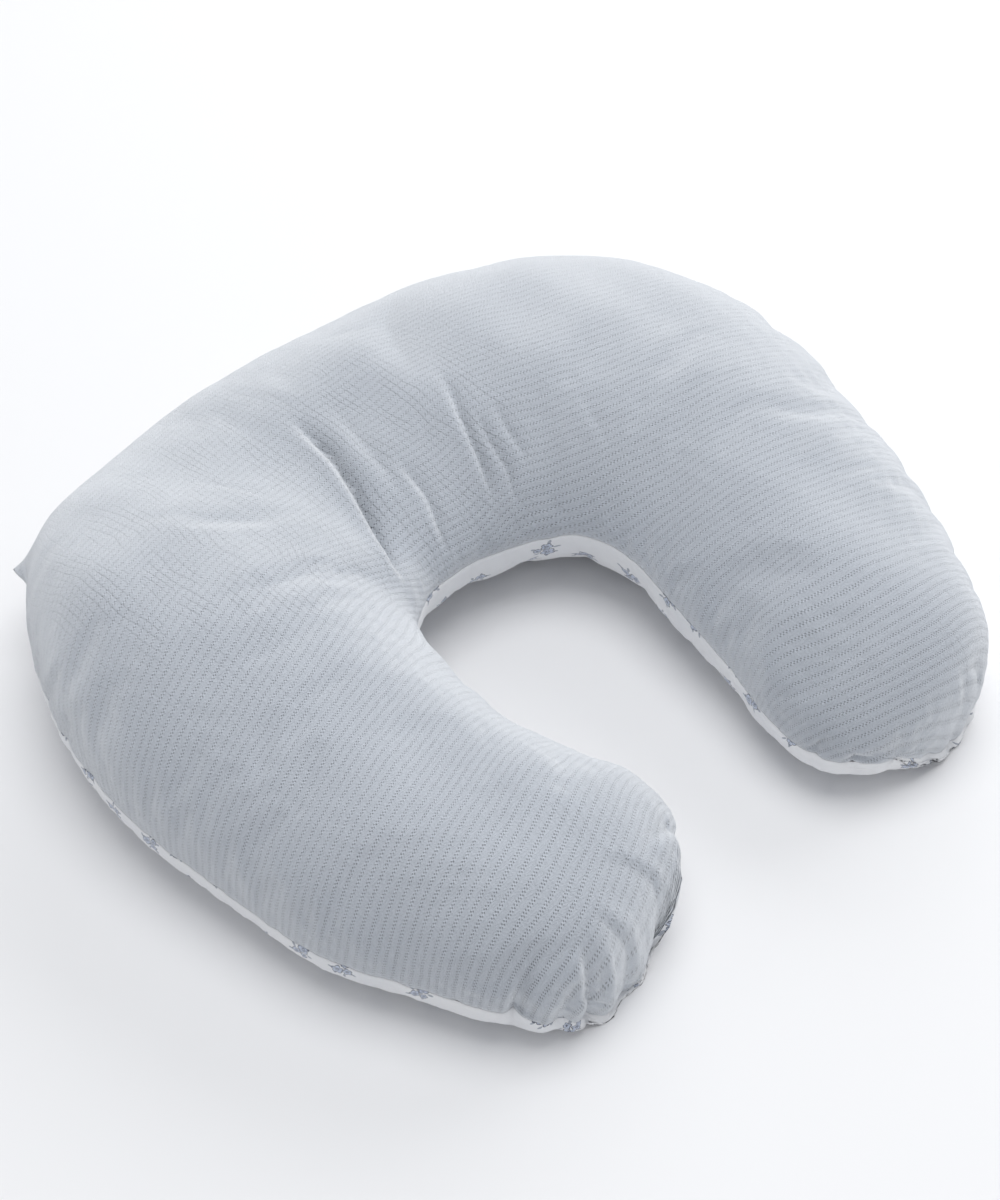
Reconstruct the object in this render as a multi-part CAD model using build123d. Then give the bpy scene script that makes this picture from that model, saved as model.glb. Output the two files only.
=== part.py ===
from build123d import *
import os
from math import atan2, cos, degrees, hypot, pi, radians, sin

# C-shaped nursing pillow. Millimetres, +Z up, standing on Z = 0.
# The hollow for the waist opens towards -Y and X = 0 is the plane of symmetry.

# ---- plan shape of the filled pillow, right half ----
BACK_RADIUS = 560.0      # outer edge across the back is a true arc, so the zip lies on it
BACK_Y = 295.0           # outer edge at the middle of the back
ARC_Y = BACK_Y - BACK_RADIUS

# Outer and inner edge at each station from the middle of the back to the arm's end.
BACK_STATIONS = [(0.0, 0.0, 31.0), (7.5, 21.0, 30.0), (15.0, 41.0, 25.5), (22.5, 59.0, 17.0)]
ARM_STATIONS = [
    (284.0, 193.0, 74.5, 2.0),
    (318.0, 96.0, 86.0, -18.0),
    (325.0, 5.0, 91.0, -42.0),
    (309.0, -80.0, 88.5, -76.0),
    (284.5, -156.0, 79.0, -120.0),
    (261.0, -208.0, 66.0, -163.0),
    (227.0, -271.0, 50.0, -209.0),
    (205.0, -315.0, 37.0, -255.0),
]

# ---- height ----
SEAM_Z_BACK = 63.0       # height of the side seam round the back
SEAM_Z_TIP = 33.0        # and at the arm ends, where the pillow is thinner
SEAM_DROP_FROM_Y = 44.0
SEAM_DROP_TO_Y = -294.0
CROWN_BACK = 66.0        # crown above the seam at the middle of the back
CROWN_ARM = 90.0         # at the middle of each arm
CROWN_END = 82.0         # just before the rounded arm end
FLOOR_SINK = 4.0         # the soft underside flattens by this much where it lies on the floor
TIP_LENGTH = 97.0        # length of the rounded arm end
TIP_PLAN_POWER = 2.4
TIP_HEIGHT_POWER = 2.7
SECTION_POWER = 0.93     # 1 is an ellipse, less is fuller
HALF_STEPS = 10

# ---- fabrics ----
TOP_CLOTH = 1.0          # double gauze
BOTTOM_CLOTH = 0.5       # printed cotton
ALLOWANCE = 8.0          # seam allowance turned to the inside
OVERLOCK = 0.8
LINER_SIDE = 10.0        # liner stands this far inside the cover at the seam
LINER_TOP = 2.0          # and this far below its crown
LINER_CLOTH = 0.6
SEAM_GAP = 0.1
LINER_SEAM_GAP = 0.1

# ---- zip on the outside of the back, all radii about the centre of the back's arc ----
ZIP_END = 20.4           # half angle of the tapes
COIL_END = 20.0
SLOT_END = 20.7          # half angle of the opening in the cover
SLOT_HALF = 6.0          # half height of that opening
TAPE = (BACK_RADIUS - 3.8, BACK_RADIUS - 3.3)
TAPE_Z = (1.0, 13.0)     # from the zip's middle line
COIL = (BACK_RADIUS - 3.2, BACK_RADIUS - 1.8)
COIL_Z = (0.7, 2.4)
STITCH_GAP = 0.03
STITCH_THICK = 0.35
STITCH_Z = (7.4, 7.8)
RUN_GAP = 0.3            # slider to coil and tape
SLIDER_LENGTH = 12.0
SLIDER_PLATE = 1.1
SLIDER_HALF = 3.9
SLIDER_REST = -19.3      # closed, at the left end seen from the back's centre
BAIL_HALF = 3.6
BAIL_LEG = 1.0
BAIL_WIDTH = 1.8
BAIL_WINDOW = 1.8
PULL_PIVOT = BACK_RADIUS + 0.5
PULL_THICK = 1.0
PULL_LENGTH = 23.0
PULL_WIDTH = 6.0
PULL_WINDOW_END = 6.0
PULL_WINDOW_HALF = 1.3
PULL_EYE = 1.6

# ---- care label, blank, sewn to the lower seam allowance next to the zip ----
LABEL = (BACK_RADIUS - 7.6, BACK_RADIUS - 7.2)
LABEL_ANGLE = (21.6, 24.4)
LABEL_HEIGHT = 16.0

# ---- liner's closing stitch ----
CLOSING = (BACK_RADIUS - LINER_SIDE + 0.1, BACK_RADIUS - LINER_SIDE + 0.6)
CLOSING_END = 8.0


def blend(points, k):
    """Smooth curve through the points (Catmull-Rom), k counts stations."""
    n = len(points) - 1
    i = min(int(k), n - 1)
    f = k - i
    p1 = points[i]
    p2 = points[i + 1]
    p0 = points[i - 1] if i > 0 else tuple(
        -v if c in (0, 2) else v for c, v in enumerate(points[1]))
    p3 = points[i + 2] if i + 2 <= n else tuple(2 * b - a for a, b in zip(p1, p2))
    out = []
    for a, b, c, d in zip(p0, p1, p2, p3):
        m1 = (c - a) / 2
        m2 = (d - b) / 2
        h = (2 * f**3 - 3 * f**2 + 1) * b + (f**3 - 2 * f**2 + f) * m1
        h += (-2 * f**3 + 3 * f**2) * c + (f**3 - f**2) * m2
        out.append(h)
    return out


def stations():
    rows = []
    for angle, xi, yi in BACK_STATIONS:
        a = radians(angle)
        rows.append((BACK_RADIUS * sin(a), ARC_Y + BACK_RADIUS * cos(a), xi, yi))
    return rows + ARM_STATIONS


ROWS = stations()
LAST = len(ROWS) - 1
ARC_STATIONS = len(BACK_STATIONS) - 1


def seam_z(y):
    f = (SEAM_DROP_FROM_Y - y) / (SEAM_DROP_FROM_Y - SEAM_DROP_TO_Y)
    return SEAM_Z_BACK - (SEAM_Z_BACK - SEAM_Z_TIP) * max(0.0, f) ** 1.5


def edges(k):
    """Outer and inner edge at station k, the outer one a true arc across the back."""
    xo, yo, xi, yi = blend(ROWS, k)
    if k <= ARC_STATIONS:
        a = radians(BACK_STATIONS[-1][0] * k / ARC_STATIONS)
        xo = BACK_RADIUS * sin(a)
        yo = ARC_Y + BACK_RADIUS * cos(a)
    return xo, yo, xi, yi


def middle(k):
    xo, yo, xi, yi = edges(k)
    return (xo + xi) / 2, (yo + yi) / 2


# length along the middle line from each fine step to the arm's end
STEPS = 40
MARKS = [i / STEPS for i in range(LAST * STEPS + 1)]
TO_END = [0.0] * len(MARKS)
for i in range(len(MARKS) - 2, -1, -1):
    xa, ya = middle(MARKS[i])
    xb, yb = middle(MARKS[i + 1])
    TO_END[i] = TO_END[i + 1] + hypot(xb - xa, yb - ya)


def station_at(distance_to_end):
    for i in range(len(MARKS) - 1, 0, -1):
        if TO_END[i - 1] >= distance_to_end:
            f = (distance_to_end - TO_END[i]) / (TO_END[i - 1] - TO_END[i])
            return MARKS[i] + (MARKS[i - 1] - MARKS[i]) * f
    return 0.0


def section(k, side, top, bottom, plan, height, mirrored):
    """Closed outline of the pillow across station k, drawn inwards by side, top and bottom."""
    xo, yo, xi, yi = edges(k)
    half = hypot(xo - xi, yo - yi) / 2
    ux = (xo - xi) / 2 / half
    uy = (yo - yi) / 2 / half
    mx = (xo + xi) / 2
    my = (yo + yi) / 2
    zs = seam_z(my)
    t = k / LAST
    if t < 0.55:
        f = t / 0.55
        crown = CROWN_BACK + (CROWN_ARM - CROWN_BACK) * (3 * f**2 - 2 * f**3)
    else:
        f = (t - 0.55) / 0.45
        crown = CROWN_ARM + (CROWN_END - CROWN_ARM) * f**2
    w = (half - side) * plan
    up = (crown - top) * height
    down = (zs + FLOOR_SINK - bottom) * height
    if mirrored:
        mx = -mx
        ux = -ux

    def point(v):
        c = cos(v)
        s = sin(v)
        c = (1 if c >= 0 else -1) * abs(c) ** SECTION_POWER
        s = (1 if s >= 0 else -1) * abs(s) ** SECTION_POWER
        return mx + ux * w * c, my + uy * w * c, zs + (up if s >= 0 else down) * s

    outward = (ux, uy, 0)
    inward = (-ux, -uy, 0)
    steps = [pi * i / HALF_STEPS for i in range(HALF_STEPS + 1)]
    outer_side = Spline(*[point(v - pi / 2) for v in steps], tangents=[outward, inward])
    inner_side = Spline(*[point(v + pi / 2) for v in steps], tangents=[inward, outward])
    return Wire([outer_side, inner_side])


TIP_SECTIONS = (0.3, 0.55, 0.75, 0.88, 0.95, 0.985)


def body(side, top, bottom, floor):
    """Solid of the whole C, drawn inwards, with a flat underside at height floor."""
    tip = TIP_LENGTH - side
    start = station_at(TIP_LENGTH)
    along = [k / 2 for k in range(8)] + list(range(4, int(start))) + [start]
    right = [(k, 1.0, 1.0) for k in along]
    for q in TIP_SECTIONS:
        k = station_at(TIP_LENGTH - tip * q)
        plan = (1 - q**TIP_PLAN_POWER) ** (1 / TIP_PLAN_POWER)
        high = (1 - q**TIP_HEIGHT_POWER) ** (1 / TIP_HEIGHT_POWER)
        right.append((k, plan, high))
    wires = [section(k, side, top, bottom, p, h, True) for k, p, h in reversed(right[1:])]
    wires += [section(k, side, top, bottom, p, h, False) for k, p, h in right]
    return Solid.make_loft(wires, False) - Pos(0, 0, floor - 50) * Box(900, 900, 100)


def above_seam(lift):
    """Everything above the seam's curved surface raised by lift."""
    ys = [-360, -294, -250, -200, -150, -100, -50, 0, 44]
    line = Spline(*[(0, y, seam_z(y) + lift) for y in ys])
    wire = Wire([
        line,
        Line((0, 44, SEAM_Z_BACK + lift), (0, 360, SEAM_Z_BACK + lift)),
        Line((0, 360, SEAM_Z_BACK + lift), (0, 360, 300)),
        Line((0, 360, 300), (0, -360, 300)),
        Line((0, -360, 300), (0, -360, seam_z(-360) + lift)),
    ])
    return Pos(-400, 0, 0) * extrude(Face(wire), 800, (1, 0, 0))


def arc_block(r, theta, z):
    """Block bent round the back's arc. theta is the angle from the middle of the back, + towards +X."""
    a0 = radians(90 - theta[1])
    a1 = radians(90 - theta[0])
    am = (a0 + a1) / 2
    corners = []
    for radius, angle in ((r[0], a0), (r[0], am), (r[0], a1), (r[1], a1), (r[1], am), (r[1], a0)):
        corners.append((radius * cos(angle), ARC_Y + radius * sin(angle), z[0]))
    wire = Wire([
        ThreePointArc(*corners[0:3]),
        Line(corners[2], corners[3]),
        ThreePointArc(*corners[3:6]),
        Line(corners[5], corners[0]),
    ])
    return extrude(Face(wire), z[1] - z[0], (0, 0, 1))


def at_slider(shape):
    """Moves a shape drawn at the middle of the back, X along the zip, to the slider's rest place."""
    swing = Pos(0, ARC_Y, 0) * Rot(0, 0, -SLIDER_REST) * Pos(0, -ARC_Y, 0)
    return swing * shape


def small_box(x, y, z):
    size = (x[1] - x[0], y[1] - y[0], z[1] - z[0])
    return Pos(x[0] + size[0] / 2, y[0] + size[1] / 2, z[0] + size[2] / 2) * Box(*size)


SEAM = SEAM_Z_BACK
parts = {}

# ---- cover: two panels with their allowances turned in, open along the zip ----
outside = body(0, 0, 0, 0)
slot = arc_block((BACK_RADIUS - 30, BACK_RADIUS + 20), (-SLOT_END, SLOT_END),
                 (SEAM - SLOT_HALF, SEAM + SLOT_HALF))
upper_half = above_seam(SEAM_GAP / 2)
lower_cut = above_seam(-SEAM_GAP / 2)
allowance_edge = body(ALLOWANCE, 1.6, 1.6, 1.6)

top_panel = outside & upper_half
top_panel -= body(TOP_CLOTH, TOP_CLOTH, TOP_CLOTH, TOP_CLOTH) & above_seam(SEAM_GAP / 2 + TOP_CLOTH)
top_panel -= allowance_edge
top_panel -= slot
parts["cover_top_panel"] = top_panel

bottom_panel = outside - lower_cut
bottom_panel -= body(BOTTOM_CLOTH, BOTTOM_CLOTH, BOTTOM_CLOTH, BOTTOM_CLOTH) - above_seam(
    -SEAM_GAP / 2 - BOTTOM_CLOTH)
bottom_panel -= allowance_edge
bottom_panel -= slot
parts["cover_bottom_panel"] = bottom_panel

# overlock thread wrapped round the raw edges of both allowances
wrap = body(ALLOWANCE + 0.1, 1.7, 1.7, 1.7) - body(ALLOWANCE + 0.1 + OVERLOCK, 1.8, 1.8, 1.8)
wrap = (wrap & above_seam(-1.0)) - above_seam(1.3)
wrap -= slot
parts["cover_overlock_thread"] = wrap

# ---- liner, its closing stitch and the filling ----
liner_out = body(LINER_SIDE, LINER_TOP, LINER_TOP, 1.0)
liner_in = body(LINER_SIDE + LINER_CLOTH, LINER_TOP + LINER_CLOTH, LINER_TOP + LINER_CLOTH,
                1.0 + LINER_CLOTH)
liner = liner_out - liner_in
parts["liner_top_panel"] = liner & above_seam(LINER_SEAM_GAP / 2)
parts["liner_bottom_panel"] = liner - above_seam(-LINER_SEAM_GAP / 2)
parts["liner_closing_stitch"] = arc_block(CLOSING, (-CLOSING_END, CLOSING_END),
                                          (SEAM - 0.5, SEAM + 0.5))
parts["fibre_filling"] = body(LINER_SIDE + LINER_CLOTH + 0.1, LINER_TOP + LINER_CLOTH + 0.1,
                              LINER_TOP + LINER_CLOTH + 0.1, 1.0 + LINER_CLOTH + 0.1)

# ---- zip ----
for name, up in (("upper", 1), ("lower", -1)):
    tape_z = sorted((SEAM + up * TAPE_Z[0], SEAM + up * TAPE_Z[1]))
    coil_z = sorted((SEAM + up * COIL_Z[0], SEAM + up * COIL_Z[1]))
    parts["zip_tape_" + name] = arc_block(TAPE, (-ZIP_END, ZIP_END), tape_z)
    parts["zip_coil_" + name] = arc_block(COIL, (-COIL_END, COIL_END), coil_z)

stops = []
for up in (1, -1):
    stop_z = sorted((SEAM + up * COIL_Z[0], SEAM + up * (COIL_Z[1] + 0.3)))
    stops.append(arc_block((COIL[0], COIL[1] + 0.3), (-COIL_END - 0.25, -COIL_END - 0.01), stop_z))
parts["zip_top_stops"] = Compound(stops)
parts["zip_bottom_stop"] = arc_block((COIL[0], COIL[1] + 0.3), (COIL_END + 0.01, COIL_END + 0.3),
                                     (SEAM - COIL_Z[1] - 0.3, SEAM + COIL_Z[1] + 0.3))

stitch_out = STITCH_GAP + STITCH_THICK
skin = body(-stitch_out, -stitch_out, -stitch_out, 0) - body(-STITCH_GAP, -STITCH_GAP, -STITCH_GAP, -9)
rows = []
for up in (1, -1):
    row_z = sorted((SEAM + up * STITCH_Z[0], SEAM + up * STITCH_Z[1]))
    row = skin & arc_block((BACK_RADIUS - 5, BACK_RADIUS + 5), (-ZIP_END, ZIP_END), row_z)
    rows += row.solids()
parts["zip_topstitching"] = Compound(rows)

# slider: two plates joined by a post between the coils, guide flanges, and the bail on top
half = degrees(SLIDER_LENGTH / 2 / BACK_RADIUS)
span = (SLIDER_REST - half, SLIDER_REST + half)
post_span = (SLIDER_REST - half, SLIDER_REST - half + degrees(2.6 / BACK_RADIUS))
front = COIL[1] + RUN_GAP
back = TAPE[0] - RUN_GAP
slider = arc_block((front, front + SLIDER_PLATE), span, (SEAM - SLIDER_HALF, SEAM + SLIDER_HALF))
slider += arc_block((back - SLIDER_PLATE, back), span, (SEAM - SLIDER_HALF, SEAM + SLIDER_HALF))
slider += arc_block((back - 0.2, front + 0.2), post_span, (SEAM - 0.4, SEAM + 0.4))
for up in (1, -1):
    flange_z = sorted((SEAM + up * (COIL_Z[1] + RUN_GAP), SEAM + up * SLIDER_HALF))
    slider += arc_block((TAPE[1] + RUN_GAP, front + 0.2), span, flange_z)
face_y = ARC_Y + front + SLIDER_PLATE
bail_z = (SEAM - BAIL_WIDTH / 2, SEAM + BAIL_WIDTH / 2)
bail = small_box((-BAIL_HALF, BAIL_HALF), (face_y - 0.3, face_y + BAIL_WINDOW + BAIL_LEG), bail_z)
bail -= small_box((-BAIL_HALF + BAIL_LEG, BAIL_HALF - BAIL_LEG), (face_y, face_y + BAIL_WINDOW),
                  (SEAM - 5, SEAM + 5))
slider += at_slider(bail)
parts["zip_slider"] = slider

# pull: flat tab whose end bar turns inside the bail, with a window round the bail's leg
pivot_y = ARC_Y + PULL_PIVOT
tab_y = (pivot_y - PULL_THICK / 2, pivot_y + PULL_THICK / 2)
tab_z = (SEAM - PULL_WIDTH / 2, SEAM + PULL_WIDTH / 2)
pull = small_box((0, PULL_LENGTH - PULL_WIDTH / 2), tab_y, tab_z)
end = Pos(PULL_LENGTH - PULL_WIDTH / 2, pivot_y, SEAM) * Rot(90, 0, 0)
pull += end * Cylinder(PULL_WIDTH / 2, PULL_THICK)
pull += Pos(0, pivot_y, SEAM) * Cylinder(PULL_THICK / 2, PULL_WIDTH)
pull -= small_box((PULL_THICK / 2, PULL_WINDOW_END), (pivot_y - 2, pivot_y + 2),
                  (SEAM - PULL_WINDOW_HALF, SEAM + PULL_WINDOW_HALF))
pull -= end * Cylinder(PULL_EYE / 2, 4)
parts["zip_pull"] = at_slider(pull)

# ---- care label ----
parts["care_label"] = arc_block(LABEL, LABEL_ANGLE, (SEAM - 1.0 - LABEL_HEIGHT, SEAM - 1.0))

os.makedirs("parts", exist_ok=True)
for name, shape in parts.items():
    export_step(shape, "parts/" + name + ".step")
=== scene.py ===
import math
import random

import bmesh
import bpy
import numpy as np
from mathutils import Matrix, Vector
from mathutils.bvhtree import BVHTree
from mathutils.kdtree import KDTree


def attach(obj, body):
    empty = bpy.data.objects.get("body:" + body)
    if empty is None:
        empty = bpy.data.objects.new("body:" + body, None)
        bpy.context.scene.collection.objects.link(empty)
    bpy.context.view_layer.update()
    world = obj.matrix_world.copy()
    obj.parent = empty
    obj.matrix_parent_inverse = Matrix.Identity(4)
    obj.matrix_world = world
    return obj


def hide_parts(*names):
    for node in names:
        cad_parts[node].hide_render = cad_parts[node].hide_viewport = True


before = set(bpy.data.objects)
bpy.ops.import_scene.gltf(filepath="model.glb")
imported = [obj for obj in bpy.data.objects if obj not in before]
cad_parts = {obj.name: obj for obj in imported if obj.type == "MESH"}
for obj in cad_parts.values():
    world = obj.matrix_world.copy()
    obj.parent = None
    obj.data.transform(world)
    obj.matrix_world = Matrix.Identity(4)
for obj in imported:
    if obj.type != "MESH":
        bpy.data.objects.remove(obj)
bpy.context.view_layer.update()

MM = 0.001

# ---- camera and stage

CAM_AZIMUTH = -41.866
CAM_ELEVATION = 45.259
CAM_DISTANCE = 1.784337
CAM_ROLL = 1.185
CAM_TARGET = Vector((0.02979, 0.037515, 0.0))
FOCAL_PIXELS = 2390.659
FRAME_HEIGHT = 1200
SENSOR = 36.0


def in_scene(name, data):
    obj = bpy.data.objects.new(name, data)
    bpy.context.scene.collection.objects.link(obj)
    return obj


def make_camera():
    a = math.radians(CAM_AZIMUTH)
    e = math.radians(CAM_ELEVATION)
    r = math.radians(CAM_ROLL)
    back = Vector((math.sin(a) * math.cos(e), -math.cos(a) * math.cos(e), math.sin(e)))
    right = Vector((math.cos(a), math.sin(a), 0))
    up = right.cross(-back)
    right2 = math.cos(r) * right + math.sin(r) * up
    up2 = -math.sin(r) * right + math.cos(r) * up
    data = bpy.data.cameras.new("camera")
    cam = in_scene("camera", data)
    turn = Matrix((right2, up2, back)).transposed().to_4x4()
    cam.matrix_world = Matrix.Translation(CAM_TARGET + back * CAM_DISTANCE) @ turn
    data.sensor_width = SENSOR
    data.lens = FOCAL_PIXELS / FRAME_HEIGHT * SENSOR
    data.clip_start = 0.05
    data.clip_end = 60
    bpy.context.scene.camera = cam


make_camera()

# ---- plan of the filled pillow
# Rows are the CAD's stations from the middle of the back to the arm's end, in mm:
# outer edge x, y and inner edge x, y of the right half.

BACK_RADIUS = 560.0
ARC_Y = -265.0
ZIP_Z = 63.0
ARC_END = 20.7
BACK_STATIONS = [(0.0, 0.0, 31.0), (7.5, 21.0, 30.0), (15.0, 41.0, 25.5), (22.5, 59.0, 17.0)]
ARM_STATIONS = [
    (284.0, 193.0, 74.5, 2.0),
    (318.0, 96.0, 86.0, -18.0),
    (325.0, 5.0, 91.0, -42.0),
    (309.0, -80.0, 88.5, -76.0),
    (284.5, -156.0, 79.0, -120.0),
    (261.0, -208.0, 66.0, -163.0),
    (227.0, -271.0, 50.0, -209.0),
    (205.0, -315.0, 37.0, -255.0),
]
# How the two halves of this filled pillow differ from the even CAD shape. The shifts move the
# outer and inner edge along the line from inner to outer edge, station by station.
# crown: height above the seam; seam: height of the seam; lean: crown's shift outwards.
LEFT = {
    "side": -1,
    "outer": (0, 0, 0, 0.5, -6.3, -2.1, -2.9, -1.0, 8.1, 4.1, 4.4, 7.7),
    "inner": (1.3, 1.0, 3.3, 1.7, 3.1, -4.2, -8.0, -3.1, 2.9, -1.5, -6.4, -5.5),
    "crown": ((0, 2.2, 4.4, 6.6, 8.8, 11), (67.6, 60.8, 90.9, 86.1, 81.0, 66.5)),
    "seam": ((0, 3, 6, 9, 11), (62.0, 63.5, 51.2, 43.0, 37.2)),
    "lean": ((0, 1.5, 3, 4.5, 6, 8, 11), (-2.0, 5.0, 4.0, 16.0, 10.2, 4.5, 5.5)),
    "cap": 85.84, "plan_power": 2.4, "height_power": 2.11,
}
RIGHT = {
    "side": 1,
    "outer": (0, 0, 0, 0.1, 1.7, 8.1, -1.3, -8.5, -4.5, -5.2, 0.6, -10.8),
    "inner": (1.3, -2.8, -2.7, -3.1, -1.9, -4.1, -4.7, -5.6, -1.0, 6.3, 5.2, -12.2),
    "crown": ((0, 2.2, 4.4, 6.6, 8.8, 11), (67.6, 85.0, 83.7, 77.6, 79.9, 78.5)),
    "seam": ((0, 3, 6, 9, 11), (62.0, 66.0, 64.8, 50.5, 41.6)),
    "lean": ((0, 1.5, 3, 4.5, 6, 8, 11), (-2.0, 4.0, -2.0, -1.0, 6.0, 4.4, -3.0)),
    "cap": 105.92, "plan_power": 2.39, "height_power": 2.2,
}
TIP_SHIFT = {-1: 0.7, 1: -1.54}
SECTION_POWER = 0.867
FLOOR_SINK = 4.0
LEAN_POWER = 1.5
BEHIND = 150.0           # mm, the back is where y is more than this
ARC_FADE = 27.0          # degrees, where the outer edge has left the zip's arc
SMOOTH = 11.0            # mm, rounds off the stations
SPACING = 2.7            # mm between columns
TOP_SEGMENTS = 118
BOTTOM_SEGMENTS = 92


def bell(x):
    return np.exp(-x ** 2)


def catmull(points, k):
    """Points on a smooth curve through the given ones, mirrored at the first."""
    n = len(points) - 1
    i = np.clip(k.astype(int), 0, n - 1)
    f = (k - i)[:, None]
    p1 = points[i]
    p2 = points[i + 1]
    p0 = np.where((i > 0)[:, None], points[np.maximum(i - 1, 0)], points[1] * np.array([-1, 1]))
    p3 = np.where((i + 2 <= n)[:, None], points[np.minimum(i + 2, n)], 2 * p2 - p1)
    m1 = (p2 - p0) / 2
    m2 = (p3 - p1) / 2
    f2 = f * f
    f3 = f2 * f
    return (2*f3 - 3*f2 + 1)*p1 + (f3 - 2*f2 + f)*m1 + (-2*f3 + 3*f2)*p2 + (f3 - f2)*m2


def spline(knots, values, x):
    """Cubic spline, level at the first knot and free at the last."""
    t = np.array(knots, float)
    y = np.array(values, float)
    n = len(t)
    h = np.diff(t)
    a = np.zeros((n, n))
    b = np.zeros(n)
    a[0, 0], a[0, 1] = 2 * h[0], h[0]
    b[0] = 6 * (y[1] - y[0]) / h[0]
    a[-1, -1] = 1
    for i in range(1, n - 1):
        a[i, i - 1], a[i, i], a[i, i + 1] = h[i - 1], 2 * (h[i - 1] + h[i]), h[i]
        b[i] = 6 * ((y[i + 1] - y[i]) / h[i] - (y[i] - y[i - 1]) / h[i - 1])
    m = np.linalg.solve(a, b)
    i = np.clip(np.searchsorted(t, x) - 1, 0, n - 2)
    d0 = x - t[i]
    d1 = t[i + 1] - x
    hi = h[i]
    return ((m[i]*d1**3 + m[i+1]*d0**3)/(6*hi) + (y[i]/hi - m[i]*hi/6)*d1
            + (y[i+1]/hi - m[i+1]*hi/6)*d0)


def half_rails(spec):
    """One half's edges and heights, 441 rows from the middle of the back to the arm's end."""
    rows = []
    for angle, xi, yi in BACK_STATIONS:
        a = math.radians(angle)
        rows.append((BACK_RADIUS * math.sin(a), ARC_Y + BACK_RADIUS * math.cos(a), xi, yi))
    rows = np.array(rows + ARM_STATIONS)
    outer = rows[:, :2].copy()
    inner = rows[:, 2:].copy()
    way = outer - inner
    way /= np.linalg.norm(way, axis=1)[:, None]
    outer += way * np.array(spec["outer"], float)[:, None]
    inner += way * np.array(spec["inner"], float)[:, None]
    shift = np.array([-0.342, -0.94]) * TIP_SHIFT[spec["side"]]
    outer[-1] += shift
    inner[-1] += shift
    k = np.linspace(0, len(rows) - 1, 441)
    o = catmull(outer, k)
    i = catmull(inner, k)
    o[:, 0] *= spec["side"]
    i[:, 0] *= spec["side"]
    values = [spline(*spec[name], k) for name in ("crown", "seam", "lean")]
    return np.column_stack([o, i] + values)


def smooth_rows(a, sigma, step):
    """Gaussian smoothing down the rows, ends carried on in a straight line."""
    n = int(4 * sigma / step)
    w = np.exp(-0.5 * (np.arange(-n, n + 1) * step / sigma) ** 2)
    w /= w.sum()
    head = a[0] + (a[0] - a[1]) * np.arange(n, 0, -1)[:, None]
    tail = a[-1] + (a[-1] - a[-2]) * np.arange(1, n + 1)[:, None]
    full = np.vstack([head, a, tail])
    return np.column_stack([np.convolve(full[:, c], w, "valid") for c in range(a.shape[1])])


def middle(rail):
    return (rail[..., :2] + rail[..., 2:4]) / 2


def length_along(p):
    return np.concatenate([[0], np.cumsum(np.linalg.norm(np.diff(p, axis=0), axis=1))])


def resample(a, at, where):
    return np.column_stack([np.interp(where, at, a[:, c]) for c in range(a.shape[1])])


def make_rails():
    """Rows from the left arm's end to the right's: outer x, y, inner x, y, crown, seam, lean."""
    left = half_rails(LEFT)[::-1]
    right = half_rails(RIGHT)
    left[-1] = right[0] = (left[-1] + right[0]) / 2
    rails = np.vstack([left, right[1:]])
    at = length_along(middle(rails))
    total = at[-1]
    n = int(total / 2)
    rails = resample(rails, at, np.linspace(0, total, n + 1))
    rails = smooth_rows(rails, SMOOTH, total / n)
    # the zip needs its true arc
    ang = np.arctan2(rails[:, 0], rails[:, 1] - ARC_Y)
    r = np.hypot(rails[:, 0], rails[:, 1] - ARC_Y)
    keep = np.clip((math.radians(ARC_FADE) - np.abs(ang)) / math.radians(ARC_FADE - ARC_END), 0, 1)
    keep = np.where(rails[:, 1] > BEHIND, keep * keep * (3 - 2 * keep), 0)
    r = r + (BACK_RADIUS - r) * keep
    on = keep > 0
    rails[on, 0] = (r * np.sin(ang))[on]
    rails[on, 1] = (ARC_Y + r * np.cos(ang))[on]
    rails[:, 5] += (ZIP_Z - rails[:, 5]) * keep
    return rails, length_along(middle(rails))


RAILS, RAIL_AT = make_rails()
TOTAL = RAIL_AT[-1]


def cap_columns(spec, half):
    """Distances from the arm's end, evenly spaced round its rounding, with both scale factors."""
    phi = np.linspace(0, math.pi / 2, 3000)
    q = np.sin(phi) ** (2 / spec["plan_power"])
    plan = np.cos(phi) ** (2 / spec["plan_power"])
    run = length_along(np.column_stack([q * spec["cap"], plan * half]))
    n = int(run[-1] / SPACING)
    pick = np.interp(np.linspace(0, run[-1], n + 1)[1:], run, phi)
    q = np.sin(pick) ** (2 / spec["plan_power"])
    plan = np.cos(pick) ** (2 / spec["plan_power"])
    high = np.maximum(1 - q ** spec["height_power"], 0) ** (1 / spec["height_power"])
    return spec["cap"] * (1 - q), plan, high


def make_columns():
    """Where the columns of the cover's grid stand along the rails, with their scale factors."""
    dl, pl, hl = cap_columns(LEFT, 78)
    dr, pr, hr = cap_columns(RIGHT, 82)
    n = int((TOTAL - LEFT["cap"] - RIGHT["cap"]) / SPACING)
    body = np.linspace(LEFT["cap"], TOTAL - RIGHT["cap"], n + 1)
    angle = np.degrees(np.arctan2(RAILS[:, 0], RAILS[:, 1] - ARC_Y))
    on_back = RAILS[:, 1] > BEHIND
    # extra columns at the rounded ends of the zip's opening
    beside = ARC_END - np.array([0.9, 0.62, 0.4, 0.22, 0.1, 0.03, 0, -0.1])
    ends = [np.interp(a, angle[on_back], RAIL_AT[on_back])
            for side in (-1, 1) for a in side * beside]
    body = body[np.abs(body[:, None] - np.array(ends)[None, :]).min(axis=1) > 0.9]
    body = np.sort(np.concatenate([body, ends]))
    ones = np.ones(len(body))
    at = np.concatenate([dl[::-1], body, TOTAL - dr])
    plan = np.concatenate([pl[::-1], ones, pr])
    high = np.concatenate([hl[::-1], ones, hr])
    return at, plan, high


COL_AT, COL_PLAN, COL_HIGH = make_columns()
COLS = len(COL_AT)


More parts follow.
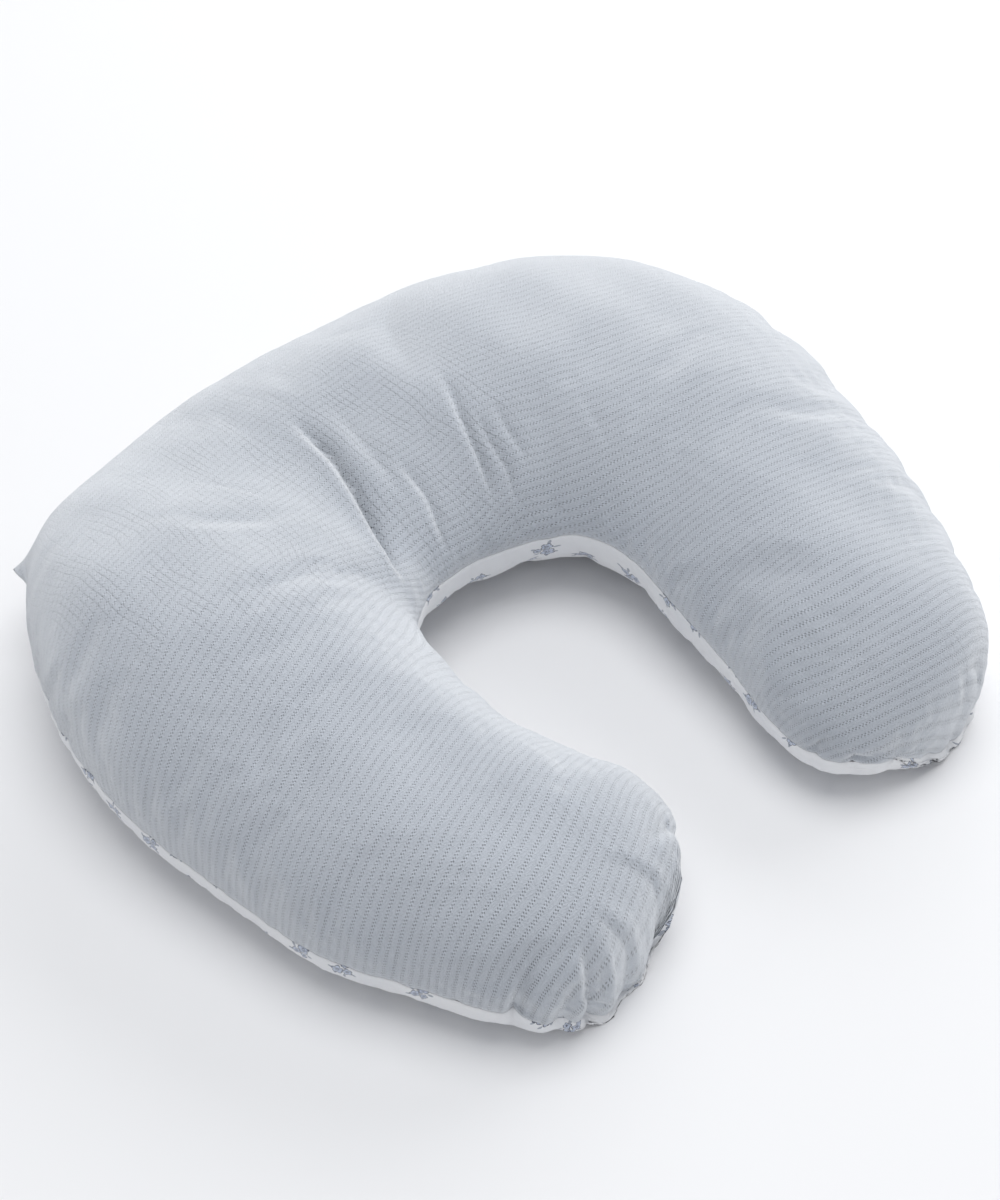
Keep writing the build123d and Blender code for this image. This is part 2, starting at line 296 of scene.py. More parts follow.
def row_angles(segments):
    """Fractions across the section, closer together beside the two seams."""
    j = np.arange(segments) + 0.5
    w = 1 - 0.62 * (bell(j / 5) + bell((segments - j) / 5))
    t = np.concatenate([[0], np.cumsum(w)])
    return math.pi * t / t[-1]


def grid(angles, sink=0.0, cols=None):
    """Points (columns, rows, 3) in mm. Angle 0 is the outer seam and pi the inner one.
    Below the seam the angles run on from pi to two pi, which is the outer seam again. The angles
    are for all columns or for each. sink draws the shape inwards."""
    at = COL_AT if cols is None else COL_AT[cols]
    at = sink + at * (TOTAL - 2 * sink) / TOTAL
    plan = COL_PLAN if cols is None else COL_PLAN[cols]
    high = COL_HIGH if cols is None else COL_HIGH[cols]
    rail = resample(RAILS, RAIL_AT, at)
    outer, inner = rail[:, :2], rail[:, 2:4]
    half = (outer - inner) / 2
    length = np.linalg.norm(half, axis=1)
    unit = half / length[:, None]
    wide = np.maximum(length - sink, 0) * plan
    up = np.maximum(rail[:, 4] - sink, 0) * high
    down = np.maximum(rail[:, 5] + FLOOR_SINK - sink, 0) * high
    lean = rail[:, 6] * high
    c, s = np.cos(angles), np.sin(angles)
    c = np.sign(c) * np.abs(c) ** SECTION_POWER
    s = np.sign(s) * np.abs(s) ** SECTION_POWER
    across = wide[:, None] * c + lean[:, None] * np.clip(s, 0, 1) ** LEAN_POWER
    xy = middle(rail)[:, None, :] + unit[:, None, :] * across[:, :, None]
    z = rail[:, 5][:, None] + np.where(s >= 0, up[:, None] * s, down[:, None] * s)
    # flattened softly where it rests, a little above the floor
    above = z - sink - 0.6
    z = sink + 0.5 * (above + np.sqrt(above ** 2 + 9.0)) - 0.1
    return np.dstack([xy, z])


def normals(p):
    """Outward normals of a grid of points."""
    du = np.gradient(p, axis=0)
    dv = np.gradient(p, axis=1)
    n = np.cross(dv, du)
    n /= np.maximum(np.linalg.norm(n, axis=2), 1e-9)[:, :, None]
    return n


OPENING_HALF = 6.0       # half height of the zip's opening in the cover
OPENING_ROUND = 0.8      # degrees over which each end of the opening closes


def opening_angles(height_column, extra):
    """Angle above or below the seam at which each column's cloth starts, beside the zip."""
    rail = resample(RAILS, RAIL_AT, COL_AT)
    a = np.degrees(np.arctan2(rail[:, 0], rail[:, 1] - ARC_Y))
    inside = np.clip((ARC_END - np.abs(a)) / OPENING_ROUND, 0, 1)
    high = np.where(rail[:, 1] > BEHIND, OPENING_HALF * np.sqrt(1 - (1 - inside) ** 2), 0)
    reach = rail[:, height_column] + extra
    return np.arcsin((high / reach) ** (1 / SECTION_POWER))


top_start = opening_angles(4, 0.0)[:, None]
bottom_end = opening_angles(5, FLOOR_SINK)[:, None]
top_angles = top_start + (math.pi - top_start) / math.pi * row_angles(TOP_SEGMENTS)[None, :]
bottom_angles = math.pi + (math.pi - bottom_end) / math.pi * row_angles(BOTTOM_SEGMENTS)[None, :]
top = grid(top_angles)
bottom = grid(bottom_angles)


def flat_map(p, angles, v0):
    """Where each point lies on the flat cloth, mm: the shape unrolled from its crown line."""
    mid = p.shape[1] // 2
    crown = math.pi / 2 if v0 > 0 else 1.5 * math.pi
    step = np.linalg.norm(np.diff(p, axis=1), axis=2)
    run = np.concatenate([np.zeros((len(p), 1)), np.cumsum(step, axis=1)], axis=1)
    run -= np.array([np.interp(crown, a, r) for a, r in zip(angles, run)])[:, None]
    rail = resample(RAILS, RAIL_AT, COL_AT)
    unit = rail[:, :2] - rail[:, 2:4]
    unit /= np.linalg.norm(unit, axis=1)[:, None]
    centre = middle(rail)
    # over the rounded ends the cloth is longer than its plan
    gone = np.linalg.norm(np.diff(p[:, mid], axis=0), axis=1)
    plan = np.linalg.norm(np.diff(centre, axis=0), axis=1)
    stretch = np.where(COL_PLAN[1:] * COL_PLAN[:-1] < 1, gone / np.maximum(plan, 1e-6), 1.0)
    moves = np.diff(centre, axis=0) * stretch[:, None]
    anchor = np.abs(centre[:, 0]).argmin()
    path = np.vstack([[0, 0], np.cumsum(moves, axis=0)])
    path += centre[anchor] - path[anchor]
    return path[:, None, :] - v0 * unit[:, None, :] * run[:, :, None]


top_flat = flat_map(top, top_angles, 1)
bottom_flat = flat_map(bottom, bottom_angles, -1)


LOWEST = 0.25            # mm, how near the floor the cover comes


def panel(name, p, flat, thick, marks):
    """A cloth panel as a closed thin shell: the outer face at full resolution, the inner face at
    half of it, joined round the seam. The two ends of the grid close to one point each."""
    nu, nv = p.shape[:2]
    n = normals(p)
    verts = []
    uv = []
    source = []
    outer = -np.ones((nu, nv), int)
    for i in range(nu):
        for j in range(nv):
            if i in (0, nu - 1) and j > 0:
                outer[i, j] = outer[i, 0]
                continue
            outer[i, j] = len(verts)
            verts.append(p[i, j])
            uv.append(flat[i, j])
            source.append((i, j))
    iu = sorted(set(list(range(0, nu, 2)) + [nu - 1]))
    iv = sorted(set(list(range(0, nv, 2)) + [nv - 1]))
    inner = -np.ones((len(iu), len(iv)), int)
    for a, i in enumerate(iu):
        for b, j in enumerate(iv):
            if a in (0, len(iu) - 1) and b > 0:
                inner[a, b] = inner[a, 0]
                continue
            inner[a, b] = len(verts)
            edge = i in (0, nu - 1) or j in (0, nv - 1)
            inside = p[i, j] - n[i, j] * thick * (0.8 if edge else 1.0)
            verts.append((inside[0], inside[1], max(inside[2], LOWEST + 0.1)))
            uv.append(flat[i, j])
            source.append((i, j))
    faces = []

    def add(*loop):
        ring = [v for k, v in enumerate(loop) if v != loop[k - 1]]
        if len(set(ring)) > 2:
            faces.append(ring)

    for i in range(nu - 1):
        for j in range(nv - 1):
            add(outer[i, j], outer[i, j + 1], outer[i + 1, j + 1], outer[i + 1, j])
    for a in range(len(iu) - 1):
        for b in range(len(iv) - 1):
            add(inner[a, b], inner[a + 1, b], inner[a + 1, b + 1], inner[a, b + 1])
    for a in range(len(iu) - 1):
        seg = list(range(iu[a], iu[a + 1] + 1))
        for col, row in ((0, 0), (nv - 1, len(iv) - 1)):
            ring = [outer[i, col] for i in seg] + [inner[a + 1, row], inner[a, row]]
            if col:
                ring = ring[::-1]
            add(*ring)
    mesh = bpy.data.meshes.new(name)
    mesh.from_pydata([tuple(v) for v in np.array(verts) * MM], [], faces)
    layer = mesh.uv_layers.new(name="flat")
    uv = np.array(uv) / 100.0
    loops = np.zeros(len(mesh.loops), int)
    mesh.loops.foreach_get("vertex_index", loops)
    layer.data.foreach_set("uv", uv[loops].ravel())
    source = np.array(source)
    for key, values in marks.items():
        data = mesh.attributes.new(key, "FLOAT", "POINT").data
        data.foreach_set("value", values[source[:, 0], source[:, 1]].astype(np.float32))
    mesh.shade_smooth()
    mesh.validate()
    return in_scene(name, mesh)


class Skin:
    """Vertices (mm) and faces of one piece, built up from lofted parts."""

    def __init__(self):
        self.verts = []
        self.faces = []

    def loft(self, rings):
        """A skin over rings (n, m, 3), its ends capped."""
        n, m = rings.shape[:2]
        first = len(self.verts)
        self.verts.extend(rings.reshape(-1, 3))
        for i in range(n - 1):
            a = first + i * m
            b = a + m
            for j in range(m):
                k = (j + 1) % m
                self.faces.append((a + j, a + k, b + k, b + j))
        self.faces.append(tuple(first + j for j in range(m))[::-1])
        self.faces.append(tuple(first + (n - 1) * m + j for j in range(m)))

    def tube(self, path, radius, sides):
        """A round thread along a path (n, 3)."""
        ahead = np.gradient(path, axis=0)
        ahead /= np.linalg.norm(ahead, axis=1)[:, None]
        v = np.cross(ahead[0], (0.3, 0.2, 1.0))
        frames = []
        for t in ahead:
            v = v - t * (v @ t)
            v = v / np.linalg.norm(v)
            frames.append((v, np.cross(t, v)))
        turn = np.arange(sides) * 2 * math.pi / sides
        a = np.array(frames)
        rings = path[:, None, :] + radius * (np.cos(turn)[None, :, None] * a[:, None, 0]
                                             + np.sin(turn)[None, :, None] * a[:, None, 1])
        self.loft(rings)

    def build(self, name):
        mesh = bpy.data.meshes.new(name)
        mesh.from_pydata([tuple(v * MM) for v in self.verts], [], self.faces)
        mesh.validate()
        bm = bmesh.new()
        bm.from_mesh(mesh)
        bmesh.ops.recalc_face_normals(bm, faces=bm.faces)
        bm.to_mesh(mesh)
        bm.free()
        mesh.shade_smooth()
        return in_scene(name, mesh)


# ---- seam, folds and puckers
# The side seam is one closed line: outer edge from the left arm's end to the right arm's end,
# then the inner edge back. Lengths in mm.

edges = grid(np.array([0.0, math.pi]))
SEAM_LINE = np.vstack([edges[:, 0], edges[-2:0:-1, 1]])
SEAM_AT = length_along(np.vstack([SEAM_LINE, SEAM_LINE[:1]]))
SEAM_LENGTH = SEAM_AT[-1]
SEAM_AT = SEAM_AT[:-1]
seam_tree = KDTree(len(SEAM_LINE))
for number, point in enumerate(SEAM_LINE):
    seam_tree.insert(point, number)
seam_tree.balance()


def smoothstep(lo, hi, x):
    t = np.clip((x - lo) / (hi - lo), 0, 1)
    return t * t * (3 - 2 * t)


def seam_place(points):
    """Length along the seam of the nearest seam point, and the distance to it."""
    flat = points.reshape(-1, 3)
    out = np.zeros((len(flat), 2))
    for n, q in enumerate(flat):
        _, index, far = seam_tree.find(q)
        out[n] = SEAM_AT[index], far
    return out[:, 0].reshape(points.shape[:-1]), out[:, 1].reshape(points.shape[:-1])


def seam_gap(a, b):
    d = np.abs(a - b)
    return np.minimum(d, SEAM_LENGTH - d)


def at_seam(x, y):
    d = np.hypot(SEAM_LINE[:, 0] - x, SEAM_LINE[:, 1] - y)
    return SEAM_AT[d.argmin()]


ZIP_SEAM = at_seam(0, 295)      # the zip's middle, as a length along the seam


def outward_of_seam():
    """Level direction out of the pillow at each point of the seam."""
    ahead = np.roll(SEAM_LINE, -3, axis=0) - np.roll(SEAM_LINE, 3, axis=0)
    n = np.column_stack([-ahead[:, 1], ahead[:, 0], np.zeros(len(ahead))])
    n /= np.maximum(np.linalg.norm(n, axis=1), 1e-9)[:, None]
    return n


SEAM_OUT = outward_of_seam()

# Where the gathered cloth is pinched at the seam: x, y, depth, width, reach up the cloth (mm).
PINCHES = [
    # end of the left arm
    (-67, -241.5, 8.0, 4.5, 34), (-111, -280, 6.5, 4.0, 26), (-143.5, -292.5, 5.5, 3.6, 26),
    (-180.7, -294.3, 9.0, 4.0, 40), (-199.8, -288.7, 5.5, 3.4, 30), (-226.8, -269, 7.5, 3.8, 42),
    (-247, -240, 1.6, 4.0, 30),
    # end of the right arm
    (201, -262, 3.2, 4.5, 30), (193.3, -276.4, 4.6, 4.5, 26), (173.3, -284, 2.2, 4.0, 24),
    (148, -287, 2.0, 5.0, 24), (117, -280, 2.2, 5.0, 26), (84, -266, 3.4, 4.0, 30),
    (67, -243, 2.6, 4.0, 26),
    # left side
    (-304, 135.6, 2.2, 4.0, 34), (-310, 119.6, 3.2, 4.0, 46), (-319, 83, 3.0, 4.0, 44),
    (-322, 49, 2.0, 4.0, 36), (-290, 160, 2.0, 5.0, 30),
    # right side
    (303, 135, 2.4, 5.0, 36), (318, 88, 2.0, 4.5, 34), (325, 30, 1.6, 5.0, 30),
    (322, -40, 1.8, 4.5, 34), (300, -120, 2.0, 5.0, 34), (262, -212, 2.4, 5.0, 32),
]
# Cloth standing out between the pinches: x, y, height, half width, reach.
LOBES = [
    # the tips' seams are tucked in
    (-152, -294, -11.0, 58, 14), (172, -285, -9.0, 46, 13),
    # and stand out in between
    (-90, -262, 4.0, 14, 22), (-127, -288, 3.6, 12, 22), (-163, -295, 4.6, 10, 26),
    (-190, -292, 3.8, 7, 20), (-213, -281, 3.2, 9, 24), (-55, -218, 3.8, 12, 22),
    (199, -270, 3.0, 8, 18), (184, -281, 3.2, 8, 18), (160, -287, 2.8, 10, 20),
    (132, -284, 1.6, 12, 22), (100, -272, 1.8, 12, 22),
]
EAR = (-236, 220, 18.0, 12.0, 26)      # a pulled-out corner of the seam, as above


def seam_profile(place, far, up):
    """Movement outwards near the seam at a length along it and a distance from it."""
    move = np.zeros_like(place)
    for x, y, depth, width, reach in PINCHES:
        w = width + 0.10 * far
        g = seam_gap(place, at_seam(x, y)) / w
        reach = reach if up else 0.6 * reach
        move -= depth * np.exp(-far / (0.55 * reach)) / (1 + g * g) ** 1.4
    for x, y, height, width, reach in LOBES:
        g = seam_gap(place, at_seam(x, y)) / width
        move += height * bell(g) * np.exp(-(far / reach) ** 1.5)
    x, y, height, width, reach = EAR
    g = seam_gap(place, at_seam(x, y)) / width
    move += height * np.exp(-np.abs(g) ** 1.6) * np.exp(-far / (0.5 * reach))
    return move


def ruffle(place, far, seed, amount, reach, base):
    """Small uneven gathers along the seam."""
    r = random.Random(seed)
    out = np.zeros_like(place)
    for _ in range(9):
        n = max(2, round(SEAM_LENGTH / r.uniform(base * 0.7, base * 1.7)))
        wave = np.sin(2 * math.pi * n * place / SEAM_LENGTH + r.uniform(0, 6.28))
        out += wave * r.uniform(0.5, 1)
    return amount * out / 3 * np.exp(-(far / reach) ** 1.3)


# Where the seam is gathered: x, y, strength, half width (mm).
GATHERS = (
    (-170, -290, 1.0, 95), (-85, -262, 0.8, 60), (150, -287, 0.8, 80), (198, -270, 0.9, 45),
    (-312, 100, 0.9, 95), (-300, -110, 0.4, 100), (312, 110, 0.7, 100), (308, -100, 0.45, 90),
)


def gather_strength(place):
    """How much the cloth is gathered along the seam: most round the tips and the outer bends."""
    s = 0.25 + 0 * place
    for x, y, strength, width in GATHERS:
        s += strength * bell(seam_gap(place, at_seam(x, y)) / width)
    return np.clip(s, 0, 1) * smoothstep(200, 240, seam_gap(place, ZIP_SEAM))


def undulation(p, seed, amount):
    """Broad unevenness: ten long waves in different directions."""
    r = random.Random(seed)
    out = np.zeros(p.shape[:-1])
    for _ in range(10):
        length = r.uniform(70, 190)
        a = r.uniform(0, 2 * math.pi)
        out += np.sin((p[..., 0] * math.cos(a) + p[..., 1] * math.sin(a)) * 2 * math.pi / length
                      + r.uniform(0, 6.28))
    return amount * out / math.sqrt(10)


# Creases in the top cloth: points (mm), depth, steep side's width, soft side's width,
# ridge height and ridge distance beside the steep side, taper at each end (share of the length).
FOLDS = [
    ([(-44, 190, 126), (-46.4, 169, 125.7), (-48, 133, 123.6), (-54.7, 99, 117), (-60.8, 73.6, 111),
      (-67, 49, 107), (-70, 32.6, 103), (-71.6, 20, 93)], 10.0, 3.4, 8.0, 2.0, 8, 0.3, 0.2),
    ([(60, 150, 139), (56.5, 131.6, 139), (43.6, 98, 132), (35, 70, 121), (29, 50, 108.6),
      (24, 34.7, 91.5)], 4.4, 3.2, 7.0, 1.0, 7, 0.4, 0.3),
    ([(56.6, 104, 137), (48, 72.5, 127), (45.4, 48.5, 114.5), (41, 33.7, 98.5),
      (38.7, 27.4, 85.8)], 3.0, 3.0, 5.5, 0.7, 6, 0.4, 0.35),
    ([(70, 96, 138), (62.3, 72.2, 134), (59.6, 49.4, 125), (56.2, 37, 115)],
     2.4, 3.0, 5.5, 0.5, 6, 0.4, 0.4),
    ([(119, 62, 146), (115.4, 42.8, 143.8), (109.9, 19.6, 134.4), (104, 2, 124)],
     1.3, 4, 9, 0.6, 8, 0.5, 0.5),
    ([(-10, 112, 124), (-13.4, 93.4, 122.4), (-14, 66.4, 112.7), (-18.6, 49.4, 100),
      (-23, 34.8, 80)], 3.2, 3.8, 8, 1.0, 8, 0.4, 0.3),
    ([(-12, 185, 128), (-16.7, 165, 128), (-23.9, 125, 126), (-26.4, 90, 118.8),
      (-27, 60.6, 105.7)], 2.0, 6, 16, 1.4, 12, 0.4, 0.4),
    ([(118, 268, 112), (112, 257, 122), (71, 218, 134), (54, 182, 136), (47, 127, 136)],
     3.0, 16, 22, 1.5, 26, 0.4, 0.5),
]
# The same at the arms' ends and the left side, with the steep side on the other hand.
END_FOLDS = [
    # end of the left arm
    ([(-226.8, -269, 34.5), (-224, -271.3, 55.6), (-213.7, -268.8, 79.7), (-195.9, -261.4, 96.4)],
     4.6, 3.4, 7, 1.4, 7, 0.1, 0.6),
    ([(-180.7, -294.3, 45.4), (-182.6, -290.7, 61.5), (-182.2, -285, 73.5), (-180, -276, 86)],
     4.0, 3.4, 6, 1.8, 7, 0.1, 0.5),
    ([(-170, -293, 45.4), (-171, -290, 60), (-170, -284, 73.5)], 2.6, 3.0, 4, 1.0, 5, 0.1, 0.5),
    ([(-160, -293, 48), (-160, -288, 63), (-160, -281, 77)], 2.0, 3.0, 4, 0.8, 5, 0.1, 0.5),
    ([(-199.8, -288.7, 48.9), (-193, -287.7, 63.6), (-185, -285.4, 72.2)],
     3.0, 3.2, 6, 1.2, 6, 0.1, 0.5),
    ([(-67, -241.5, 65), (-87.8, -246, 83.3), (-108.6, -253, 90)], 2.6, 3.6, 8, 1.2, 8, 0.1, 0.6),
    ([(-148, -245.6, 107), (-123.6, -256, 93.8), (-109, -266.6, 76.4), (-108, -274.8, 62.8)],
     1.6, 3.2, 7, 0.9, 6, 0.5, 0.2),
    ([(-169.8, -265.4, 96), (-157, -279, 80.8), (-147, -286.4, 66.6), (-143.5, -292, 45)],
     2.4, 3.4, 8, 1.4, 8, 0.5, 0.15),
    # end of the right arm
    ([(196, -277, 66), (193.3, -276.4, 76.8), (177.6, -276.7, 84.2)],
     3.0, 3.4, 6, 1.2, 6, 0.2, 0.5),
    ([(173.3, -284, 62), (173.2, -280.4, 77.5), (170, -272, 88)], 1.8, 3.4, 6, 0.9, 6, 0.2, 0.5),
    ([(73.5, -255.7, 36), (83, -265.9, 46.9), (91, -270.9, 47), (104, -276, 52)],
     2.0, 3.2, 5, 0.9, 5, 0.2, 0.5),
    ([(64, -239, 42), (65.2, -240.8, 45.8), (68.8, -247.5, 57.8), (76, -250, 68)],
     2, 3.2, 5, 0.8, 5, 0.2, 0.5),
    # left side
    ([(-309.9, 119.6, 62), (-313, 102, 92.5), (-305, 98, 113.5), (-297, 108, 121)],
     2.2, 4, 7, 1.2, 7, 0.1, 0.6),
    ([(-319, 83, 64), (-318.5, 75.7, 88.6), (-313, 73, 106)], 2.2, 3.6, 7, 1.0, 7, 0.1, 0.6),
    ([(-303.7, 135.6, 72), (-303.7, 135.6, 89), (-300.7, 133.7, 103)],
     1.8, 3.4, 6, 0.8, 6, 0.1, 0.6),
]


def crease(p, n, fold, hand):
    """One crease's movement of each point along its normal, and the painted shade of the crease
    there.
    """
    line, depth, steep, soft, ridge, offset, head, tail = fold
    line = np.array(line, float)
    at = length_along(line)
    best = np.full(p.shape[:-1], 1e9)
    side = np.zeros_like(best)
    along = np.zeros_like(best)
    for k in range(len(line) - 1):
        a, b = line[k], line[k + 1]
        d = b - a
        size = np.linalg.norm(d)
        t = np.clip(((p - a) @ d) / size ** 2, 0, 1)
        r = p - (a + t[..., None] * d)
        far = np.linalg.norm(r, axis=-1)
        near = far < best
        way = np.cross(n, d / size)
        best = np.where(near, far, best)
        side = np.where(near, hand * (way * r).sum(axis=-1), side)
        along = np.where(near, (at[k] + t * size) / at[-1], along)
    off_line = np.sqrt(np.maximum(best ** 2 - side ** 2, 0))
    fade = smoothstep(0, head, along) * smoothstep(0, tail, 1 - along)
    fade = fade * bell(off_line / 9)
    valley = np.where(side > 0, bell(side / steep), np.exp(-np.abs(side) / soft))
    up = ridge * bell((side - offset) / (0.8 * offset))
    # painted shade, strongest down in the crease, which darkens the colour
    painted_crease_shade = np.where(side > 0, bell(side / 1.2), bell(side / (0.8 * soft)))
    return fade * (up - depth * valley), fade * painted_crease_shade * depth / 10


def level_out(place):
    """Outward direction of the seam point at a length along the seam."""
    index = np.searchsorted(SEAM_AT, place, side="right") - 1
    return SEAM_OUT[np.clip(index, 0, len(SEAM_OUT) - 1)]


LIP_DEPTH = 1.6          # the cloth beside the zip is turned in over this depth and length
LIP_LENGTH = 2.2
# where the side seam rides higher or lower than in the even shape: x, y, height, half length
SEAM_RISES = (
    (-72, -246, 20, 38), (-145, -294, -38, 60), (178, -284, -36, 50), (-305, -110, -4, 90),
)


def dress(p, is_top, swell):
    """Adds folds, puckers and unevenness to a panel's points."""
    n = normals(p)
    at_opening = (top_start if is_top else bottom_end) > 0
    place, far = seam_place(p)
    away_from_zip = smoothstep(205, 235, seam_gap(place, ZIP_SEAM))
    calm = np.maximum(away_from_zip, smoothstep(18, 60, far))
    gathers = gather_strength(place)
    near = np.exp(-far / 7)[..., None]
    way = n * (1 - near) + level_out(place) * near
    way /= np.maximum(np.linalg.norm(way, axis=-1), 1e-9)[..., None]
    # painted shade of the creases, kept for darkening the gauze's colour
    painted_crease_shade = np.zeros(p.shape[:-1])
    move = undulation(p, 11, 1.3) * smoothstep(0, 60, far)
    # the puckers stay off the main crease, and weaker on the back
    from_crease = np.hypot(p[..., 0] + 50, p[..., 1] - 120)
    on_back = smoothstep(60, 200, p[..., 1])
    free = smoothstep(1, 12, far) * calm * smoothstep(45, 110, from_crease)
    move += swell * free * (1 - 0.6 * on_back)
    move += seam_profile(place, far, is_top) * calm
    move += ruffle(place, far, 5, 0.55, 26, 13) * gathers
    move -= 0.9 * np.exp(-far / 1.6) * away_from_zip
    if is_top:
        for hand, folds in ((-1, FOLDS), (1, END_FOLDS)):
            for fold in folds:
                shift, closed = crease(p, n, fold, hand)
                move += shift * smoothstep(0.5, 7, far)
                painted_crease_shade = np.maximum(painted_crease_shade, closed)
    else:
        move *= smoothstep(0.5, 14, p[..., 2])
    q = p + way * move[..., None]
    edge = p[:, :1] if is_top else p[:, -1:]
    from_edge = np.linalg.norm(p - edge, axis=-1)
    q -= n * (LIP_DEPTH * np.clip(1 - from_edge / LIP_LENGTH, 0, 1) ** 2 * at_opening)[..., None]
    for x, y, rise, half in SEAM_RISES:
        raised = bell(seam_gap(place, at_seam(x, y)) / half)
        q[..., 2] += rise * raised * bell(far / 28)
    lift = ruffle(place, far, 8, 0.8, 14, 34) * (0.3 + gathers) * away_from_zip
    q[..., 2] = np.maximum(q[..., 2] + lift, LOWEST + (0.6 if is_top else 0))
    return q, gathers * np.exp(-(far / 42) ** 1.4), painted_crease_shade


# ---- swelling of the filled cover

SWELL_START = 3.0        # mm, the simulated shape starts this much smaller
SWELL_VOXEL = 6.0        # mm
SWELL_CAP = 2.8          # only the puckers are kept, the overall shape is the photo's
SWELL_SHARE = 0.6
SWELL_FRAMES = 20
SWELL_CLOTH = {
    "quality": 6, "mass": 0.25, "tension_stiffness": 12, "compression_stiffness": 12,
    "shear_stiffness": 5, "bending_stiffness": 0.3, "air_damping": 2, "use_pressure": True,
    "uniform_pressure_force": 4, "vertex_group_mass": "hold", "shrink_min": -0.045,
}


def simulated_cover():
    """Blows up a copy of the closed cover as slack cloth. Gives its points before and after, mm."""
    skin = Skin()
    ring = np.concatenate([top[:, :-1], bottom[:, :-1]], axis=1)
    around = normals(np.concatenate([ring[:, -1:], ring, ring[:, :1]], axis=1))[:, 1:-1]
    ring = ring - around * SWELL_START
    ring[..., 2] = np.maximum(ring[..., 2], SWELL_START)
    skin.loft(ring[3:-3])
    obj = skin.build("swell")
    remesh = obj.modifiers.new("remesh", "REMESH")
    remesh.mode = "VOXEL"
    remesh.voxel_size = SWELL_VOXEL * MM
    graph = bpy.context.evaluated_depsgraph_get()
    shape = bpy.data.meshes.new_from_object(obj.evaluated_get(graph))
    obj.modifiers.clear()
    obj.data = shape
    before = np.array([v.co for v in shape.vertices]) / MM
    _, far = seam_place(before)
    hold = obj.vertex_groups.new(name="hold")
    weight = np.maximum(1 - smoothstep(5, 14, far), 1 - smoothstep(3.5, 8, before[:, 2]))
    for index in np.nonzero(weight > 0)[0]:
        hold.add([int(index)], float(weight[index]), "REPLACE")
    cloth = obj.modifiers.new("cloth", "CLOTH")
    for key, value in SWELL_CLOTH.items():
        setattr(cloth.settings, key, value)
    cloth.settings.effector_weights.gravity = 0
    cloth.point_cache.frame_start = 1
    cloth.point_cache.frame_end = SWELL_FRAMES
    scene = bpy.context.scene
    for number in range(1, SWELL_FRAMES + 1):
        scene.frame_set(number)
    puffed = obj.evaluated_get(bpy.context.evaluated_depsgraph_get()).data
    after = np.array([v.co for v in puffed.vertices]) / MM
    scene.frame_set(1)
    bpy.data.objects.remove(obj)
    return before, after


def blur(a, sigma, axis):
    """Gaussian blur along one axis of a grid."""
    reach = int(3 * sigma)
    w = np.exp(-0.5 * (np.arange(-reach, reach + 1) / sigma) ** 2)
    w /= w.sum()
    pad = [(reach, reach) if k == axis else (0, 0) for k in range(a.ndim)]
    full = np.pad(a, pad, "edge")
    return np.apply_along_axis(lambda line: np.convolve(line, w, "valid"), axis, full)


def swell_of(p, before, after):
    """How far each point of a panel stands off the even shape once the cover has swelled."""
    tree = KDTree(len(before))
    for k, q in enumerate(before):
        tree.insert(q, k)
    tree.balance()
    n = normals(p)
    gone = after - before
    out = np.zeros(p.shape[:-1])
    for i in range(p.shape[0]):
        for j in range(p.shape[1]):
            total = moved = 0.0
            for _, k, far in tree.find_n(p[i, j] - n[i, j] * SWELL_START, 6):
                w = 1 / (far * far + 2.0)
                total += w
                moved += w * (gone[k] @ n[i, j])
            out[i, j] = moved / total
    fine = out - blur(blur(out, 12, 0), 10, 1)
    return np.clip(fine * SWELL_SHARE, -SWELL_CAP, SWELL_CAP)


swell_points = simulated_cover()
top_swell = swell_of(top, *swell_points)
bottom_swell = swell_of(bottom, *swell_points)
top_shape, top_gather, top_crease_shade = dress(top, True, top_swell)
bottom_shape, bottom_gather, _ = dress(bottom, False, bottom_swell)


# Where the top cloth is crossed by fine wrinkles: x, y, strength, size (mm).
CRUSHED = (
    (-30, 110, 1.0, 95), (-150, 60, 0.9, 110), (40, 120, 0.8, 70), (-220, 110, 0.9, 80),
    (-120, -240, 0.7, 60), (190, -255, 0.7, 40), (-90, 200, 0.7, 90),
)


def crush_marks(p):
    """Where the top cloth is slack and crossed by fine wrinkles."""
    out = np.zeros(p.shape[:-1])
    for x, y, strength, size in CRUSHED:
        out += strength * bell(np.hypot(p[..., 0] - x, p[..., 1] - y) / size)
    return np.clip(out, 0, 1)


# How much the stitched rows slope against the level as the cloth was laid: x (mm), slope.
ROW_SLOPE = (
    (-400, 0.16), (-350, 0.08), (-310, -0.12), (-265, -0.31), (-230, -0.36), (-200, -0.38),
    (-150, -0.41), (-100, -0.32), (-50, -0.17), (0, 0.02), (50, 0.22), (100, 0.35), (150, 0.24),
    (200, 0.15), (300, 0.12), (400, 0.12),
)
# The rows over each arm's end: rail end, direction they climb in (degrees), stretch.
ROW_ENDS = ((0, 64.0, 0.90), (-1, 28.0, 0.95))


